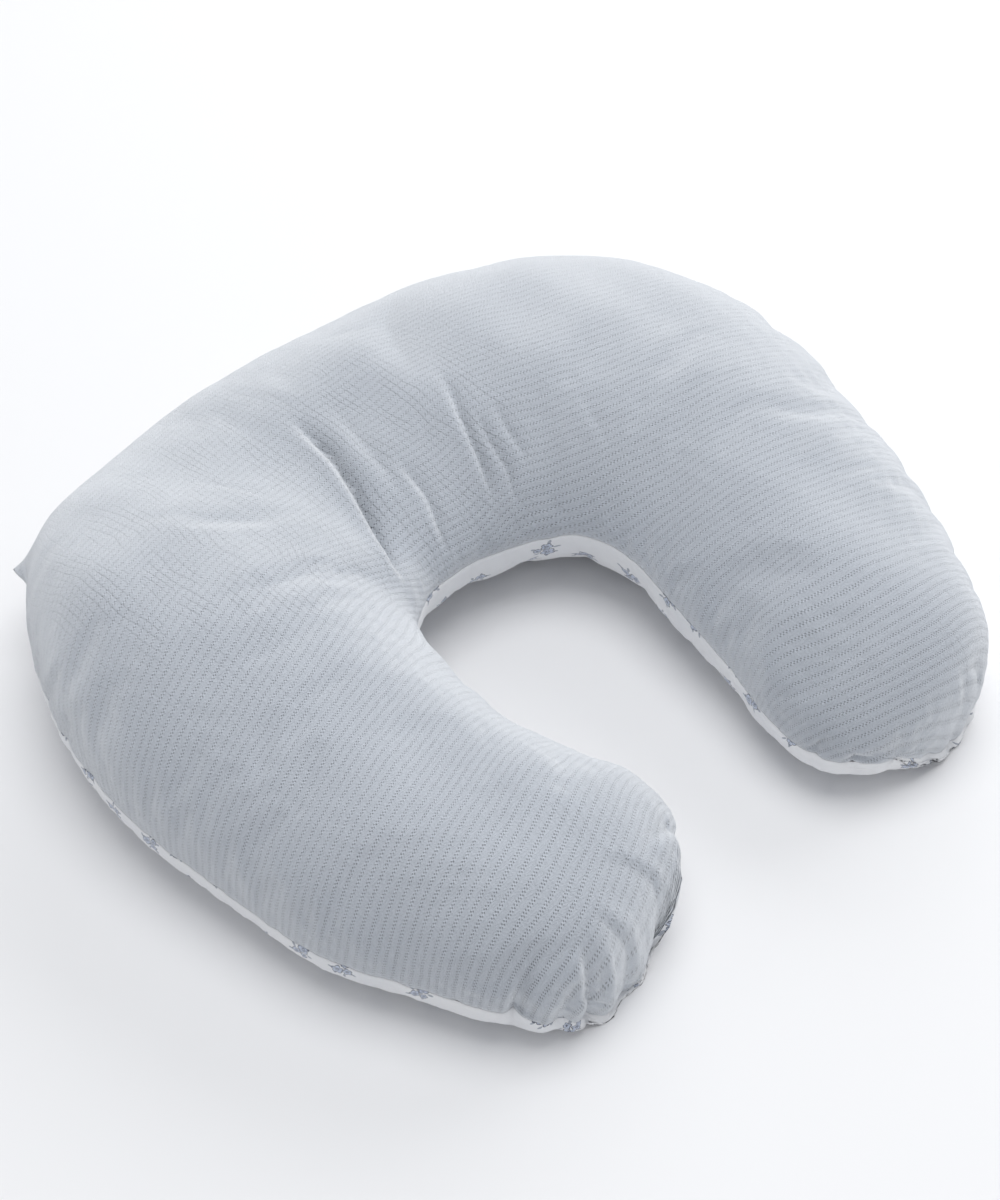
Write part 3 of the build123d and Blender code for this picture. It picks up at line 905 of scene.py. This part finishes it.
def row_marks(flat, p):
    """Height of each point in the run of stitched rows, mm."""
    xs = np.arange(-400, 401, 2.0)
    slope = np.interp(xs, *zip(*ROW_SLOPE))
    slope = np.convolve(np.pad(slope, 20, "edge"), np.ones(41) / 41, "valid")
    rise = np.concatenate([[0], np.cumsum((slope[1:] + slope[:-1]) / 2 * 2.0)])
    row = flat[..., 1] + np.interp(flat[..., 0], xs, rise)
    # over the arms' ends the rows stay straight instead of following the rounding
    a, e = math.radians(CAM_AZIMUTH), math.radians(CAM_ELEVATION)
    right = np.array([math.cos(a), math.sin(a), 0])
    up = np.array([-math.sin(a) * math.sin(e), math.cos(a) * math.sin(e), math.cos(e)])
    for end, tilt, scale in ROW_ENDS:
        t = math.radians(tilt)
        straight = scale * (p @ (up * math.cos(t) - right * math.sin(t)))
        tip = middle(RAILS[end])
        share = 1 - smoothstep(50, 150, np.hypot(p[..., 0] - tip[0], p[..., 1] - tip[1]))
        meet = (share > 0.1) & (share < 0.9) & (p[..., 2] > 60)
        straight += (row - straight)[meet].mean()
        row = row + (straight - row) * share
    return row


GAUZE_THICK = 1.0
COTTON_THICK = 0.6
cover_top = panel("cover_top", top_shape, top_flat, GAUZE_THICK, {
    "gather": top_gather, "crush": crush_marks(top), "row": row_marks(top_flat, top),
    # the creases' painted shade goes along as an attribute
    "painted_crease_shade": top_crease_shade,
})
cover_bottom = panel("cover_bottom", bottom_shape, bottom_flat, COTTON_THICK,
                     {"gather": bottom_gather})


class Value:
    """One number in a node tree, so that shader sums read as sums."""

    def __init__(self, tree, socket):
        self.tree = tree
        self.socket = socket

    def op(self, kind, *others):
        node = self.tree.nodes.new("ShaderNodeMath")
        node.operation = kind
        for slot, v in zip(node.inputs, (self,) + others):
            if isinstance(v, Value):
                self.tree.links.new(v.socket, slot)
            else:
                slot.default_value = v
        return Value(self.tree, node.outputs[0])

    def __rsub__(self, o):
        return (self * -1.0) + o

    def step(self, lo, hi, out_lo=0.0, out_hi=1.0):
        """Smooth change from out_lo to out_hi as the number goes from lo to hi."""
        node = self.tree.nodes.new("ShaderNodeMapRange")
        node.interpolation_type = "SMOOTHSTEP"
        self.tree.links.new(self.socket, node.inputs["Value"])
        node.inputs["From Min"].default_value = lo
        node.inputs["From Max"].default_value = hi
        node.inputs["To Min"].default_value = out_lo
        node.inputs["To Max"].default_value = out_hi
        return Value(self.tree, node.outputs["Result"])


for _method, _kind in (("__add__", "ADD"), ("__radd__", "ADD"), ("__sub__", "SUBTRACT"),
                       ("__mul__", "MULTIPLY"), ("__rmul__", "MULTIPLY"), ("__truediv__", "DIVIDE"),
                       ("sin", "SINE"), ("cos", "COSINE"), ("abs", "ABSOLUTE"), ("floor", "FLOOR"),
                       ("mod", "FLOORED_MODULO"), ("power", "POWER"), ("least", "MINIMUM"),
                       ("most", "MAXIMUM")):
    setattr(Value, _method, lambda self, *others, kind=_kind: self.op(kind, *others))


def distance(x, y):
    return (x * x + y * y).power(0.5)


class Finish:
    """A material built from nodes round one Principled shader."""

    def __init__(self, name, rough=0.85, **sockets):
        self.mat = bpy.data.materials.new(name)
        self.mat.use_nodes = True
        self.tree = self.mat.node_tree
        self.shader = self.tree.nodes["Principled BSDF"]
        self.shader.inputs["Roughness"].default_value = rough
        for key, value in sockets.items():
            self.shader.inputs[key.replace("_", " ")].default_value = value

    def node(self, kind, **inputs):
        made = self.tree.nodes.new(kind)
        for key, value in inputs.items():
            slot = made.inputs[key]
            if isinstance(value, Value):
                self.tree.links.new(value.socket, slot)
            elif isinstance(value, bpy.types.NodeSocket):
                self.tree.links.new(value, slot)
            else:
                slot.default_value = value
        return made

    def split(self, vector):
        parts = self.node("ShaderNodeSeparateXYZ", Vector=vector)
        return [Value(self.tree, parts.outputs[k]) for k in range(3)]

    def join(self, x, y, z=0.0):
        return self.node("ShaderNodeCombineXYZ", X=x, Y=y, Z=z).outputs[0]

    def flat(self):
        """Place on the flat cloth in mm."""
        uv = self.tree.nodes.new("ShaderNodeUVMap")
        uv.uv_map = "flat"
        x, y, _ = self.split(uv.outputs[0])
        return x * 100.0, y * 100.0

    def place(self):
        """Place on the object in mm."""
        coords = self.tree.nodes.new("ShaderNodeTexCoord")
        x, y, z = self.split(coords.outputs["Object"])
        return x * 1000.0, y * 1000.0, z * 1000.0

    def attribute(self, name):
        made = self.tree.nodes.new("ShaderNodeAttribute")
        made.attribute_name = name
        return Value(self.tree, made.outputs["Fac"])

    def noise(self, vector, scale, detail=2.0, rough=0.5):
        made = self.node("ShaderNodeTexNoise", Vector=vector, Scale=scale, Detail=detail,
                         Roughness=rough)
        return Value(self.tree, made.outputs[0])

    def chance(self, value):
        made = self.tree.nodes.new("ShaderNodeTexWhiteNoise")
        made.noise_dimensions = "1D"
        self.tree.links.new(value.socket, made.inputs["W"])
        return Value(self.tree, made.outputs["Value"])

    def mix(self, factor, a, b):
        made = self.tree.nodes.new("ShaderNodeMix")
        made.data_type = "RGBA"
        made.clamp_factor = False
        for key, value in ((0, factor), (6, a), (7, b)):
            if isinstance(value, Value):
                self.tree.links.new(value.socket, made.inputs[key])
            elif isinstance(value, bpy.types.NodeSocket):
                self.tree.links.new(value, made.inputs[key])
            elif key:
                made.inputs[key].default_value = (*value, 1)
            else:
                made.inputs[key].default_value = value
        return made.outputs[2]

    def colour(self, socket):
        self.tree.links.new(socket, self.shader.inputs["Base Color"])

    def height(self, value):
        """Bump from a height in mm."""
        bump = self.node("ShaderNodeBump", Height=value, Strength=1.0, Distance=MM)
        self.tree.links.new(bump.outputs[0], self.shader.inputs["Normal"])


BLACK = (0.0, 0.0, 0.0)


def plain(name, colour, rough):
    f = Finish(name, rough)
    f.shader.inputs["Base Color"].default_value = (*colour, 1)
    return f.mat


ROW_PITCH = 6.0          # mm between the stitched rows of the double gauze
HOLE_PITCH = 2.3
HOLE_OFFSET = 0.55       # each row is two lines of holes this far either side of it


def gauze():
    """Crinkled double gauze: rows of paired stitch holes, fine crinkle, wrinkles and pleats."""
    f = Finish("gauze", 0.92, Sheen_Weight=0.5, Sheen_Roughness=0.3, Specular_IOR_Level=0.25)
    f.shader.inputs["Sheen Tint"].default_value = (0.93, 0.96, 1.0, 1)
    x, y = f.flat()
    flat = f.join(x, y)
    drift = f.noise(flat, 0.012, 2.0)
    wobble = f.noise(flat, 0.11, 2.0)
    row = f.attribute("row") + (drift - 0.5) * 6.0 + (wobble - 0.5) * 0.9
    number = (row / ROW_PITCH).floor()
    across = row - (number + 0.5) * ROW_PITCH
    phase = f.chance(number) * HOLE_PITCH
    jitter = (f.noise(flat, 0.6, 1.0) - 0.5) * 0.5
    holes = None
    for k, side in enumerate((-1.0, 1.0)):
        along = (x + phase + jitter + 0.5 * HOLE_PITCH * k).mod(HOLE_PITCH) - 0.5 * HOLE_PITCH
        d = distance(along, across - side * HOLE_OFFSET)
        holes = d if holes is None else holes.least(d)
    hole = holes.step(0.22, 0.66, 1.0, 0.0)
    groove = across.abs().step(0.6, 1.5, 1.0, 0.0)
    gather = f.attribute("gather")
    crush = f.attribute("crush")
    fine = f.noise(f.join(x * 0.55, y * 0.90), 1.0, 3.0, 0.7)
    slub = f.noise(f.join(x * 0.10, y * 0.75), 1.0, 2.0)
    swing = f.noise(f.join(x * 0.02, y * 0.010), 1.0, 2.0)
    # wrinkles across the rows, in long nearly straight runs
    fold_at = (x + row * 0.10) * (math.pi / 5.6) + (swing - 0.5) * 16.0
    patch = f.noise(f.join(x * 0.05, y * 0.022), 1.0, 2.0).step(0.36, 0.60, 0.15, 1.0)
    cross = (fold_at.sin().abs() * -1.0 + 1.0).power(3.0) * (crush * patch + 0.10)
    pleats = (across * (2 * math.pi / ROW_PITCH)).cos()
    weave = (x * (2 * math.pi / 0.62)).sin() * 0.5 + (row * (2 * math.pi / 0.62)).sin() * 0.5
    height = (hole * -0.40 + groove * (1.0 - crush * 0.5) * -0.03 + (fine - 0.5) * 1.5
              + (slub - 0.5) * 0.30 - cross * 0.50 - pleats * (gather * 0.34 + crush * 0.10)
              + weave * 0.018)
    f.height(height)
    tone = f.noise(flat, 0.03, 3.0)
    speck = f.noise(flat, 1.1, 1.0)
    # painted shade: the colour is darker in the stitch holes, the crossing wrinkles and the pleats,
    # where the seam is gathered and down in the creases; tone, fine and speck are the cloth's own
    # tone
    light = ((tone - 0.5) * 0.05 + (fine - 0.5) * 0.34 + (speck - 0.5) * 0.20 - hole * 0.62
             + groove * 0.12 - cross * 0.12 - pleats * gather * 0.05 - gather * 0.04
             - f.attribute("painted_crease_shade") * 0.34 + 1.05)
    base = f.mix(light, BLACK, GAUZE_LIGHT)
    # painted sheen: the colour goes towards a pale colour where the surface is seen edge on
    painted_sheen_share = Value(f.tree, f.node("ShaderNodeLayerWeight", Blend=0.5).outputs["Facing"])
    f.colour(f.mix(painted_sheen_share.step(0.12, 0.84, 0.0, 0.80), base, GAUZE_PAINTED_SHEEN))
    return f.mat


GAUZE_LIGHT = (0.525, 0.558, 0.612)
GAUZE_PAINTED_SHEEN = (0.86, 0.885, 0.92)   # painted sheen: the pale colour mixed in where the cloth is seen edge on


def turned(x, y, angle):
    c, s = math.cos(angle), math.sin(angle)
    return x * c + y * s, y * c - x * s


PRINT_PITCH = 35.0       # mm between sprigs
PRINT_SHIFT = 15.0       # mm, brings whole sprigs into the band seen in the hollow
# one sprig, in mm: flowers as x, y, size, petals, turn
FLOWERS = ((-3.2, 0.6, 4.3, 5, 0.3), (3.6, 2.4, 3.4, 5, 1.1), (2.6, -4.0, 2.5, 5, 2.0))
# and leaves as x, y, half length, half width, turn
LEAVES = (
    (-7.8, -1.6, 2.3, 1.0, 0.5), (-5.4, 4.6, 2.0, 0.9, 2.2), (7.4, 5.2, 2.2, 1.0, 0.7),
    (6.2, -5.0, 1.9, 0.9, 2.6), (-2.0, -6.4, 2.2, 0.9, 1.3), (0.6, 7.4, 2.3, 0.9, 1.7),
)


def print_cotton():
    """White cotton with a scattered print of small sprigs, each a few flowers and leaves."""
    f = Finish("print_cotton", 0.88, Sheen_Weight=0.12, Sheen_Roughness=0.5)
    x, y = f.flat()
    y = y + PRINT_SHIFT
    flat = f.join(x, y)
    cells = f.node("ShaderNodeTexVoronoi", Vector=flat, Scale=1 / PRINT_PITCH, Randomness=0.45)
    cx, cy, _ = f.split(cells.outputs["Position"])
    r, g, _ = f.split(cells.outputs["Color"])
    dx, dy = x - cx, y - cy
    turn = r * (2 * math.pi)
    c, s = turn.cos(), turn.sin()
    u = dx * c + dy * s
    v = dy * c - dx * s
    shake = f.noise(flat, 0.5, 1.0) - 0.5
    fill = None
    line = None

    def put(now, new):
        return new if now is None else now.most(new)

    for fx, fy, size, petals, twist in FLOWERS:
        px, py = u - fx, v - fy
        angle = py.op("ARCTAN2", px)
        radius = distance(px, py)
        edge = (angle * (petals / 2.0) + twist).cos().abs().power(0.6) * (0.42 * size) + 0.6 * size
        gap = radius - edge + shake * 0.5
        fill = put(fill, gap.step(-0.35, 0.0, 1.0, 0.0))
        line = put(line, gap.abs().step(0.12, 0.42, 1.0, 0.0))
        line = put(line, (radius - 0.22 * size).abs().step(0.1, 0.4, 1.0, 0.0))
        ray = (angle * float(petals) + twist * 2.0).sin().abs().step(0.0, 0.35, 1.0, 0.0)
        ray = ray * radius.step(0.25 * size, 0.3 * size)
        line = put(line, ray * radius.step(0.5 * size, 0.56 * size, 1.0, 0.0))
    leaf = None
    for lx, ly, long, wide, twist in LEAVES:
        px, py = turned(u - lx, v - ly, twist)
        d = distance(px / long, py / wide)
        leaf = put(leaf, d.step(0.85, 1.05, 1.0, 0.0))
    stems = ((u * 0.22).sin() * 1.6 - v).abs().step(0.1, 0.35, 1.0, 0.0)
    stems = stems * u.abs().step(6.5, 8.0, 1.0, 0.0)
    line = put(line, stems * 0.7)
    shown = g.step(0.04, 0.06) * distance(dx, dy).step(12.5, 13.0, 1.0, 0.0)
    thread = f.noise(f.join(x * 3.0, y * 3.0), 1.0, 2.0)
    soft = f.noise(flat, 0.02, 2.0)
    cloth = f.mix(soft.step(0.3, 0.7), (0.84, 0.85, 0.875), (0.88, 0.885, 0.90))
    blue = f.mix(thread.step(0.3, 0.7), (0.50, 0.56, 0.70), (0.62, 0.67, 0.79))
    base = f.mix(fill * shown * 0.85, cloth, blue)
    base = f.mix(leaf * shown * 0.7, base, (0.22, 0.25, 0.32))
    base = f.mix(line * shown * 0.95, base, (0.06, 0.07, 0.10))
    f.colour(base)
    weave = (x * (2 * math.pi / 0.5)).sin() * (y * (2 * math.pi / 0.5)).sin()
    height = weave * 0.02 + (thread - 0.5) * 0.06 + (f.noise(flat, 0.12, 3.0) - 0.5) * 0.5
    f.height(height)
    return f.mat


# ---- making of thin pieces

def arc_point(angle, out, up):
    """A point beside the zip: degrees round the back, mm outside its radius, mm above its line."""
    angle, out, up = np.broadcast_arrays(np.radians(angle), out, up)
    r = BACK_RADIUS + out
    return np.stack([r * np.sin(angle), ARC_Y + r * np.cos(angle), ZIP_Z + up], axis=-1)


def strip(name, angles, ups, out, thick, wave):
    """A thin ribbon beside the zip, its two faces ribbed by wave(angle index)."""
    skin = Skin()
    rings = []
    for i, a in enumerate(angles):
        ring = [arc_point(a, out + thick / 2 + wave(i, u), u) for u in ups]
        ring += [arc_point(a, out - thick / 2 - wave(i, u), u) for u in ups[::-1]]
        rings.append(ring)
    skin.loft(np.array(rings))
    return skin.build(name)


# ---- zip

# Ends in degrees from the middle of the back, the rest in mm from the zip's line.
TAPE_END = 20.4
TAPE_OVER = 0.7          # the visible tapes run on this far under the cover
COIL_END = 20.0
TAPE_OUT = -3.55
TAPE_THICK = 0.4
COIL_PITCH = 1.4
COIL_WIRE = 0.2
STITCH_UP = 7.6
STITCH_LENGTH = 2.5
STITCH_STEP = 3.2
DEGREE_PER_MM = 180 / math.pi / BACK_RADIUS


def zip_tape(side, name):
    ups = side * np.array([0.5, 0.8, 1.4, 2.6, 3.4, 5, 7, 9, 10.5, 12, 12.6, 12.95])
    angles = np.arange(-TAPE_END - TAPE_OVER, TAPE_END + TAPE_OVER, 1.4 * DEGREE_PER_MM)

    def wave(i, u):
        cord = 0.05 * math.exp(-((abs(u) - 2.9) / 0.7) ** 2)
        return cord + (0.02 if i % 2 else -0.02) * (abs(u) > 2)
    return strip(name, angles, ups, TAPE_OUT, TAPE_THICK, wave)


def zip_coil(side, name):
    """One side of the zip: a flattened spiral of monofilament, its legs over the tape's edge."""
    turns = int(2 * COIL_END / DEGREE_PER_MM / COIL_PITCH)
    t = np.arange(turns * 9 + 1) / 9
    angle = -COIL_END + 0.05 + t / turns * (2 * COIL_END - 0.1)
    phase = t * 2 * math.pi
    up = side * (1.44 - 0.77 * np.cos(phase))
    out = -2.5 + 0.48 * np.sin(phase) * (1 - 0.25 * np.cos(phase))
    skin = Skin()
    skin.tube(arc_point(angle, out, up), COIL_WIRE, 5)
    return skin.build(name)


def topstitching(cover_meshes):
    """Two rows of stitches beside the opening, each laid on the cover below or above it."""
    trees = []
    for obj in cover_meshes:
        bm = bmesh.new()
        bm.from_mesh(obj.data)
        trees.append(BVHTree.FromBMesh(bm))
        bm.free()
    skin = Skin()
    # share of the stitch's length, mm above the cloth
    shape = ((-0.5, -0.25), (-0.44, 0.02), (-0.34, 0.2), (0, 0.25), (0.34, 0.2), (0.44, 0.02),
             (0.5, -0.25))
    for side, tree in ((1, trees[0]), (-1, trees[1])):
        count = int(2 * (TAPE_END - 0.3) / DEGREE_PER_MM / STITCH_STEP)
        for k in range(count):
            middle = (k - (count - 1) / 2) * STITCH_STEP * DEGREE_PER_MM
            path = []
            for along, above in shape:
                a = middle + along * STITCH_LENGTH * DEGREE_PER_MM
                start = arc_point(a, 15.0, side * STITCH_UP)
                aim = arc_point(a, 0.0, side * STITCH_UP) - start
                hit = tree.ray_cast(Vector(start * MM), Vector(aim).normalized(), 0.03)
                path.append(np.array(hit[0]) / MM + np.array(hit[1]) * above)
            skin.tube(np.array(path), 0.2, 6)
    return skin.build("zip_topstitches")


# ---- inside the cover

# How far inside the cover each piece lies, and sizes, in mm.
OVERLOCK_IN = 8.5
OVERLOCK_STEP = 1.5
LINER_IN = 10.0
LINER_THICK = 0.5
FILLING_IN = 11.5
CLOSING_ANGLE = 7.8      # degrees either side of the middle of the back
CLOSING_PITCH = 3.0
CLOSING_OUT = -9.65
LABEL_OUT = -7.4
LABEL_THICK = 0.3


def overlock():
    """Zigzag thread over the cut edges of the seam allowances, open at the zip."""
    at = np.arange(0, SEAM_LENGTH, OVERLOCK_STEP)
    at = np.roll(at, -int(ZIP_SEAM / OVERLOCK_STEP))
    at = at[seam_gap(at, ZIP_SEAM) > ARC_END / DEGREE_PER_MM + 4]
    where = np.searchsorted(SEAM_AT, at, side="right") - 1
    line = np.vstack([SEAM_LINE, SEAM_LINE[:1]])
    ahead = np.append(SEAM_AT, SEAM_LENGTH)
    share = ((at - ahead[where]) / np.maximum(ahead[where + 1] - ahead[where], 1e-6))[:, None]
    points = line[where] * (1 - share) + line[where + 1] * share
    zig = np.where(np.arange(len(at)) % 2, 1.0, -1.0)
    points = points - SEAM_OUT[where] * (OVERLOCK_IN + 0.35 * zig[:, None])
    points[:, 2] += 0.15 + 0.7 * zig
    skin = Skin()
    skin.tube(points, 0.16, 5)
    return skin.build("overlock_thread")


def inner_shell(name, angles, sink, thick, lumps):
    """A closed bag's half, or with thick 0 a solid body, drawn inside the cover."""
    cols = np.unique(np.r_[0:COLS:4, COLS - 1])
    p = grid(angles, sink, cols)
    n = normals(p)
    if lumps:
        p = p + n * undulation(p, 21, lumps)[..., None]
    p[..., 2] = np.maximum(p[..., 2], sink * 0.25)
    skin = Skin()
    if thick:
        inside = p - n * thick
        inside[..., 2] = np.maximum(inside[..., 2], sink * 0.25 + thick)
        rings = np.concatenate([p, inside[:, ::-1]], axis=1)
    else:
        rings = p[:, :-1]
    skin.loft(rings[1:-1])
    return skin.build(name)


def closing_stitches():
    """Hand stitches that close the gap through which the liner was filled."""
    skin = Skin()
    count = int(2 * CLOSING_ANGLE / DEGREE_PER_MM / CLOSING_PITCH)
    for k in range(count):
        middle = (k - (count - 1) / 2) * CLOSING_PITCH * DEGREE_PER_MM
        t = np.linspace(-1, 1, 7)
        angle = middle + t * 0.8 * DEGREE_PER_MM
        skin.tube(arc_point(angle, CLOSING_OUT + 0.12 * (1 - t * t), 0.4 * t), 0.12, 5)
    return skin.build("closing_stitches")


def care_label():
    """A blank ribbon sewn in beside the zip."""
    angles = np.linspace(21.6, 24.4, 13)
    ups = np.linspace(-16.9, -1.1, 12)

    def wave(i, u):
        return 0.03 * math.sin(i * 1.3 + u * 0.2)
    return strip("blank_label", angles, ups, LABEL_OUT, LABEL_THICK, wave)


# ---- materials of the small pieces

def woven(name, colour, rough, thread, bump, sheen=0.1):
    """Plain weave seen close up: two sets of threads and slight unevenness."""
    f = Finish(name, rough, Sheen_Weight=sheen)
    x, y, z = f.place()
    along = f.noise(f.join(x, y, z), 0.35, 2.0)
    warp = ((x + y * 0.31) * (2 * math.pi / thread)).sin()
    weft = (z * (2 * math.pi / thread)).sin()
    f.height(warp * weft * bump + (along - 0.5) * bump * 2.0)
    shade = warp * weft * 0.06 + (along - 0.5) * 0.10 + 1.0
    f.colour(f.mix(shade, BLACK, colour))
    return f.mat


def spun_thread(name, colour):
    """Twisted thread: slanting plies and stray lighter fibres."""
    f = Finish(name, 0.7, Sheen_Weight=0.15)
    x, y, z = f.place()
    ply = ((x + y * 0.4 + z * 1.6) * (2 * math.pi / 0.42)).sin()
    fuzz = f.noise(f.join(x, y, z), 2.5, 2.0)
    f.height(ply * 0.03)
    f.colour(f.mix(ply * 0.07 + (fuzz - 0.5) * 0.16 + 1.0, BLACK, colour))
    return f.mat


def nylon(name, colour):
    """Drawn monofilament with faint streaks along it."""
    f = Finish(name, 0.32, Specular_IOR_Level=0.5)
    x, y, z = f.place()
    streak = f.noise(f.join(x * 0.4, y * 0.4, z * 2.0), 1.0, 2.0)
    f.height((streak - 0.5) * 0.02)
    f.colour(f.mix((streak - 0.5) * 0.12 + 1.0, BLACK, colour))
    return f.mat


def metal(name, colour, rough):
    """Pressed metal: fine grain, worn brighter in places."""
    f = Finish(name, rough, Metallic=1.0)
    x, y, z = f.place()
    grain = f.noise(f.join(x * 0.8, y * 0.8, z * 5.0), 1.0, 3.0)
    wear = f.noise(f.join(x, y, z), 0.5, 3.0).step(0.5, 0.7)
    f.height((grain - 0.5) * 0.03)
    f.colour(f.mix((grain - 0.5) * 0.12 + wear * 0.10 + 0.94, BLACK, colour))
    f.tree.links.new((grain * 0.12 + (rough - 0.06)).socket, f.shader.inputs["Roughness"])
    return f.mat


def lacquer(name, colour):
    """Sprayed enamel over die-cast metal: slight orange peel, thinner and darker in patches."""
    f = Finish(name, 0.28, Coat_Weight=0.4, Coat_Roughness=0.15)
    x, y, z = f.place()
    peel = f.noise(f.join(x, y, z), 1.6, 2.0)
    patch = f.noise(f.join(x, y, z), 0.25, 2.0)
    f.height((peel - 0.5) * 0.03)
    f.colour(f.mix((patch - 0.5) * 0.14 + 1.0, BLACK, colour))
    return f.mat


def fibre_fill():
    """Curled polyester fibre."""
    f = Finish("fibre", 0.95, Sheen_Weight=0.4)
    x, y, z = f.place()
    at = f.join(x, y, z)
    curl = f.noise(at, 0.12, 4.0, 0.6)
    hair = f.noise(f.join(x * 1.4, y * 0.5, z * 0.9), 1.0, 3.0)
    f.height((curl - 0.5) * 5.0 + (hair - 0.5) * 1.0)
    f.colour(f.mix((curl - 0.5) * 0.25 + (hair - 0.5) * 0.1 + 1.0, BLACK, (0.86, 0.86, 0.86)))
    return f.mat


# ---- put the pieces in place

TAPE_COLOUR = (0.74, 0.78, 0.83)
COIL_COLOUR = (0.70, 0.73, 0.78)
gauze_mat = gauze()
tape_mat = woven("zip_tape", TAPE_COLOUR, 0.8, 0.5, 0.04)
coil_mat = nylon("zip_coil", COIL_COLOUR)
thread_mat = spun_thread("thread", (0.84, 0.85, 0.87))
match_mat = spun_thread("gauze_thread", (0.50, 0.54, 0.60))
liner_mat = woven("liner_cotton", (0.87, 0.87, 0.86), 0.9, 0.6, 0.03)
metal_mat = metal("zip_metal", (0.72, 0.73, 0.75), 0.34)

HALF_TURN = np.linspace(0, math.pi, 41)


def paint(obj, mat):
    obj.data.materials.clear()
    obj.data.materials.append(mat)


def put(obj, mat, slot, *nodes):
    paint(obj, mat)
    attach(obj, "pillow")
    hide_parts(*nodes)
    return obj


put(cover_top, gauze_mat, "gauze", "cover_top_panel")
put(cover_bottom, print_cotton(), "print_cotton", "cover_bottom_panel")
put(zip_tape(1, "tape_upper"), tape_mat, "zip_tape", "zip_tape_upper")
put(zip_tape(-1, "tape_lower"), tape_mat, "zip_tape", "zip_tape_lower")
put(zip_coil(1, "coil_upper"), coil_mat, "zip_coil", "zip_coil_upper")
put(zip_coil(-1, "coil_lower"), coil_mat, "zip_coil", "zip_coil_lower")
put(topstitching((cover_top, cover_bottom)), match_mat, "gauze_thread", "zip_topstitching")
put(overlock(), thread_mat, "thread", "cover_overlock_thread")
put(inner_shell("liner_top", HALF_TURN, LINER_IN, LINER_THICK, 0), liner_mat, "liner_cotton",
    "liner_top_panel")
put(inner_shell("liner_bottom", HALF_TURN + math.pi, LINER_IN, LINER_THICK, 0), liner_mat,
    "liner_cotton", "liner_bottom_panel")
put(closing_stitches(), thread_mat, "thread", "liner_closing_stitch")
filling = put(inner_shell("filling", np.linspace(0, 2 * math.pi, 81), FILLING_IN, 0, 0.7),
              fibre_fill(), "fibre", "fibre_filling")
put(care_label(), woven("label", (0.88, 0.88, 0.87), 0.45, 0.35, 0.015, 0.3), "label", "care_label")

# the small hard parts stay as the CAD made them, with their edges eased
for node, mat, ease in (("zip_slider", metal_mat, 0.16), ("zip_top_stops", metal_mat, 0.1),
                        ("zip_bottom_stop", metal_mat, 0.1),
                        ("zip_pull", lacquer("zip_lacquer", (0.72, 0.76, 0.81)), 0.2)):
    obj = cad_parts[node]
    paint(obj, mat)
    weld = obj.modifiers.new("weld", "WELD")
    weld.merge_threshold = 0.01 * MM
    bevel = obj.modifiers.new("ease", "BEVEL")
    bevel.width = ease * MM
    bevel.segments = 2
    bevel.limit_method = "ANGLE"
    bevel.angle_limit = math.radians(35)

# ---- floor and light

floor_mesh = bpy.data.meshes.new("floor")
floor_mesh.from_pydata([(-6, -6, 0), (6, -6, 0), (6, 6, 0), (-6, 6, 0)], [], [(0, 1, 2, 3)])
floor_mesh.materials.append(plain("floor", (0.845, 0.845, 0.855), 0.6))
floor = in_scene("floor", floor_mesh)

scene = bpy.context.scene
scene.view_settings.view_transform = "Standard"
world = bpy.data.worlds.new("studio")
scene.world = world
world.use_nodes = True
sky = world.node_tree.nodes["Background"].inputs
sky["Color"].default_value = (0.95, 0.97, 1.0, 1)
sky["Strength"].default_value = 0.54


LIGHT_AIM = Vector((0, 0, 0.05))


def area(name, place, size, power):
    data = bpy.data.lights.new(name, "AREA")
    data.shape = "DISK"
    data.size = size
    data.energy = power
    obj = in_scene(name, data)
    obj.location = place
    obj.rotation_euler = (LIGHT_AIM - Vector(place)).to_track_quat("-Z", "Y").to_euler()


area("window", (4.2, 3.7, 2.3), 4.2, 84)
area("top", (0.2, 0.2, 4.6), 3.6, 100)
area("right", (4.2, 0.3, 2.6), 3.0, 64)
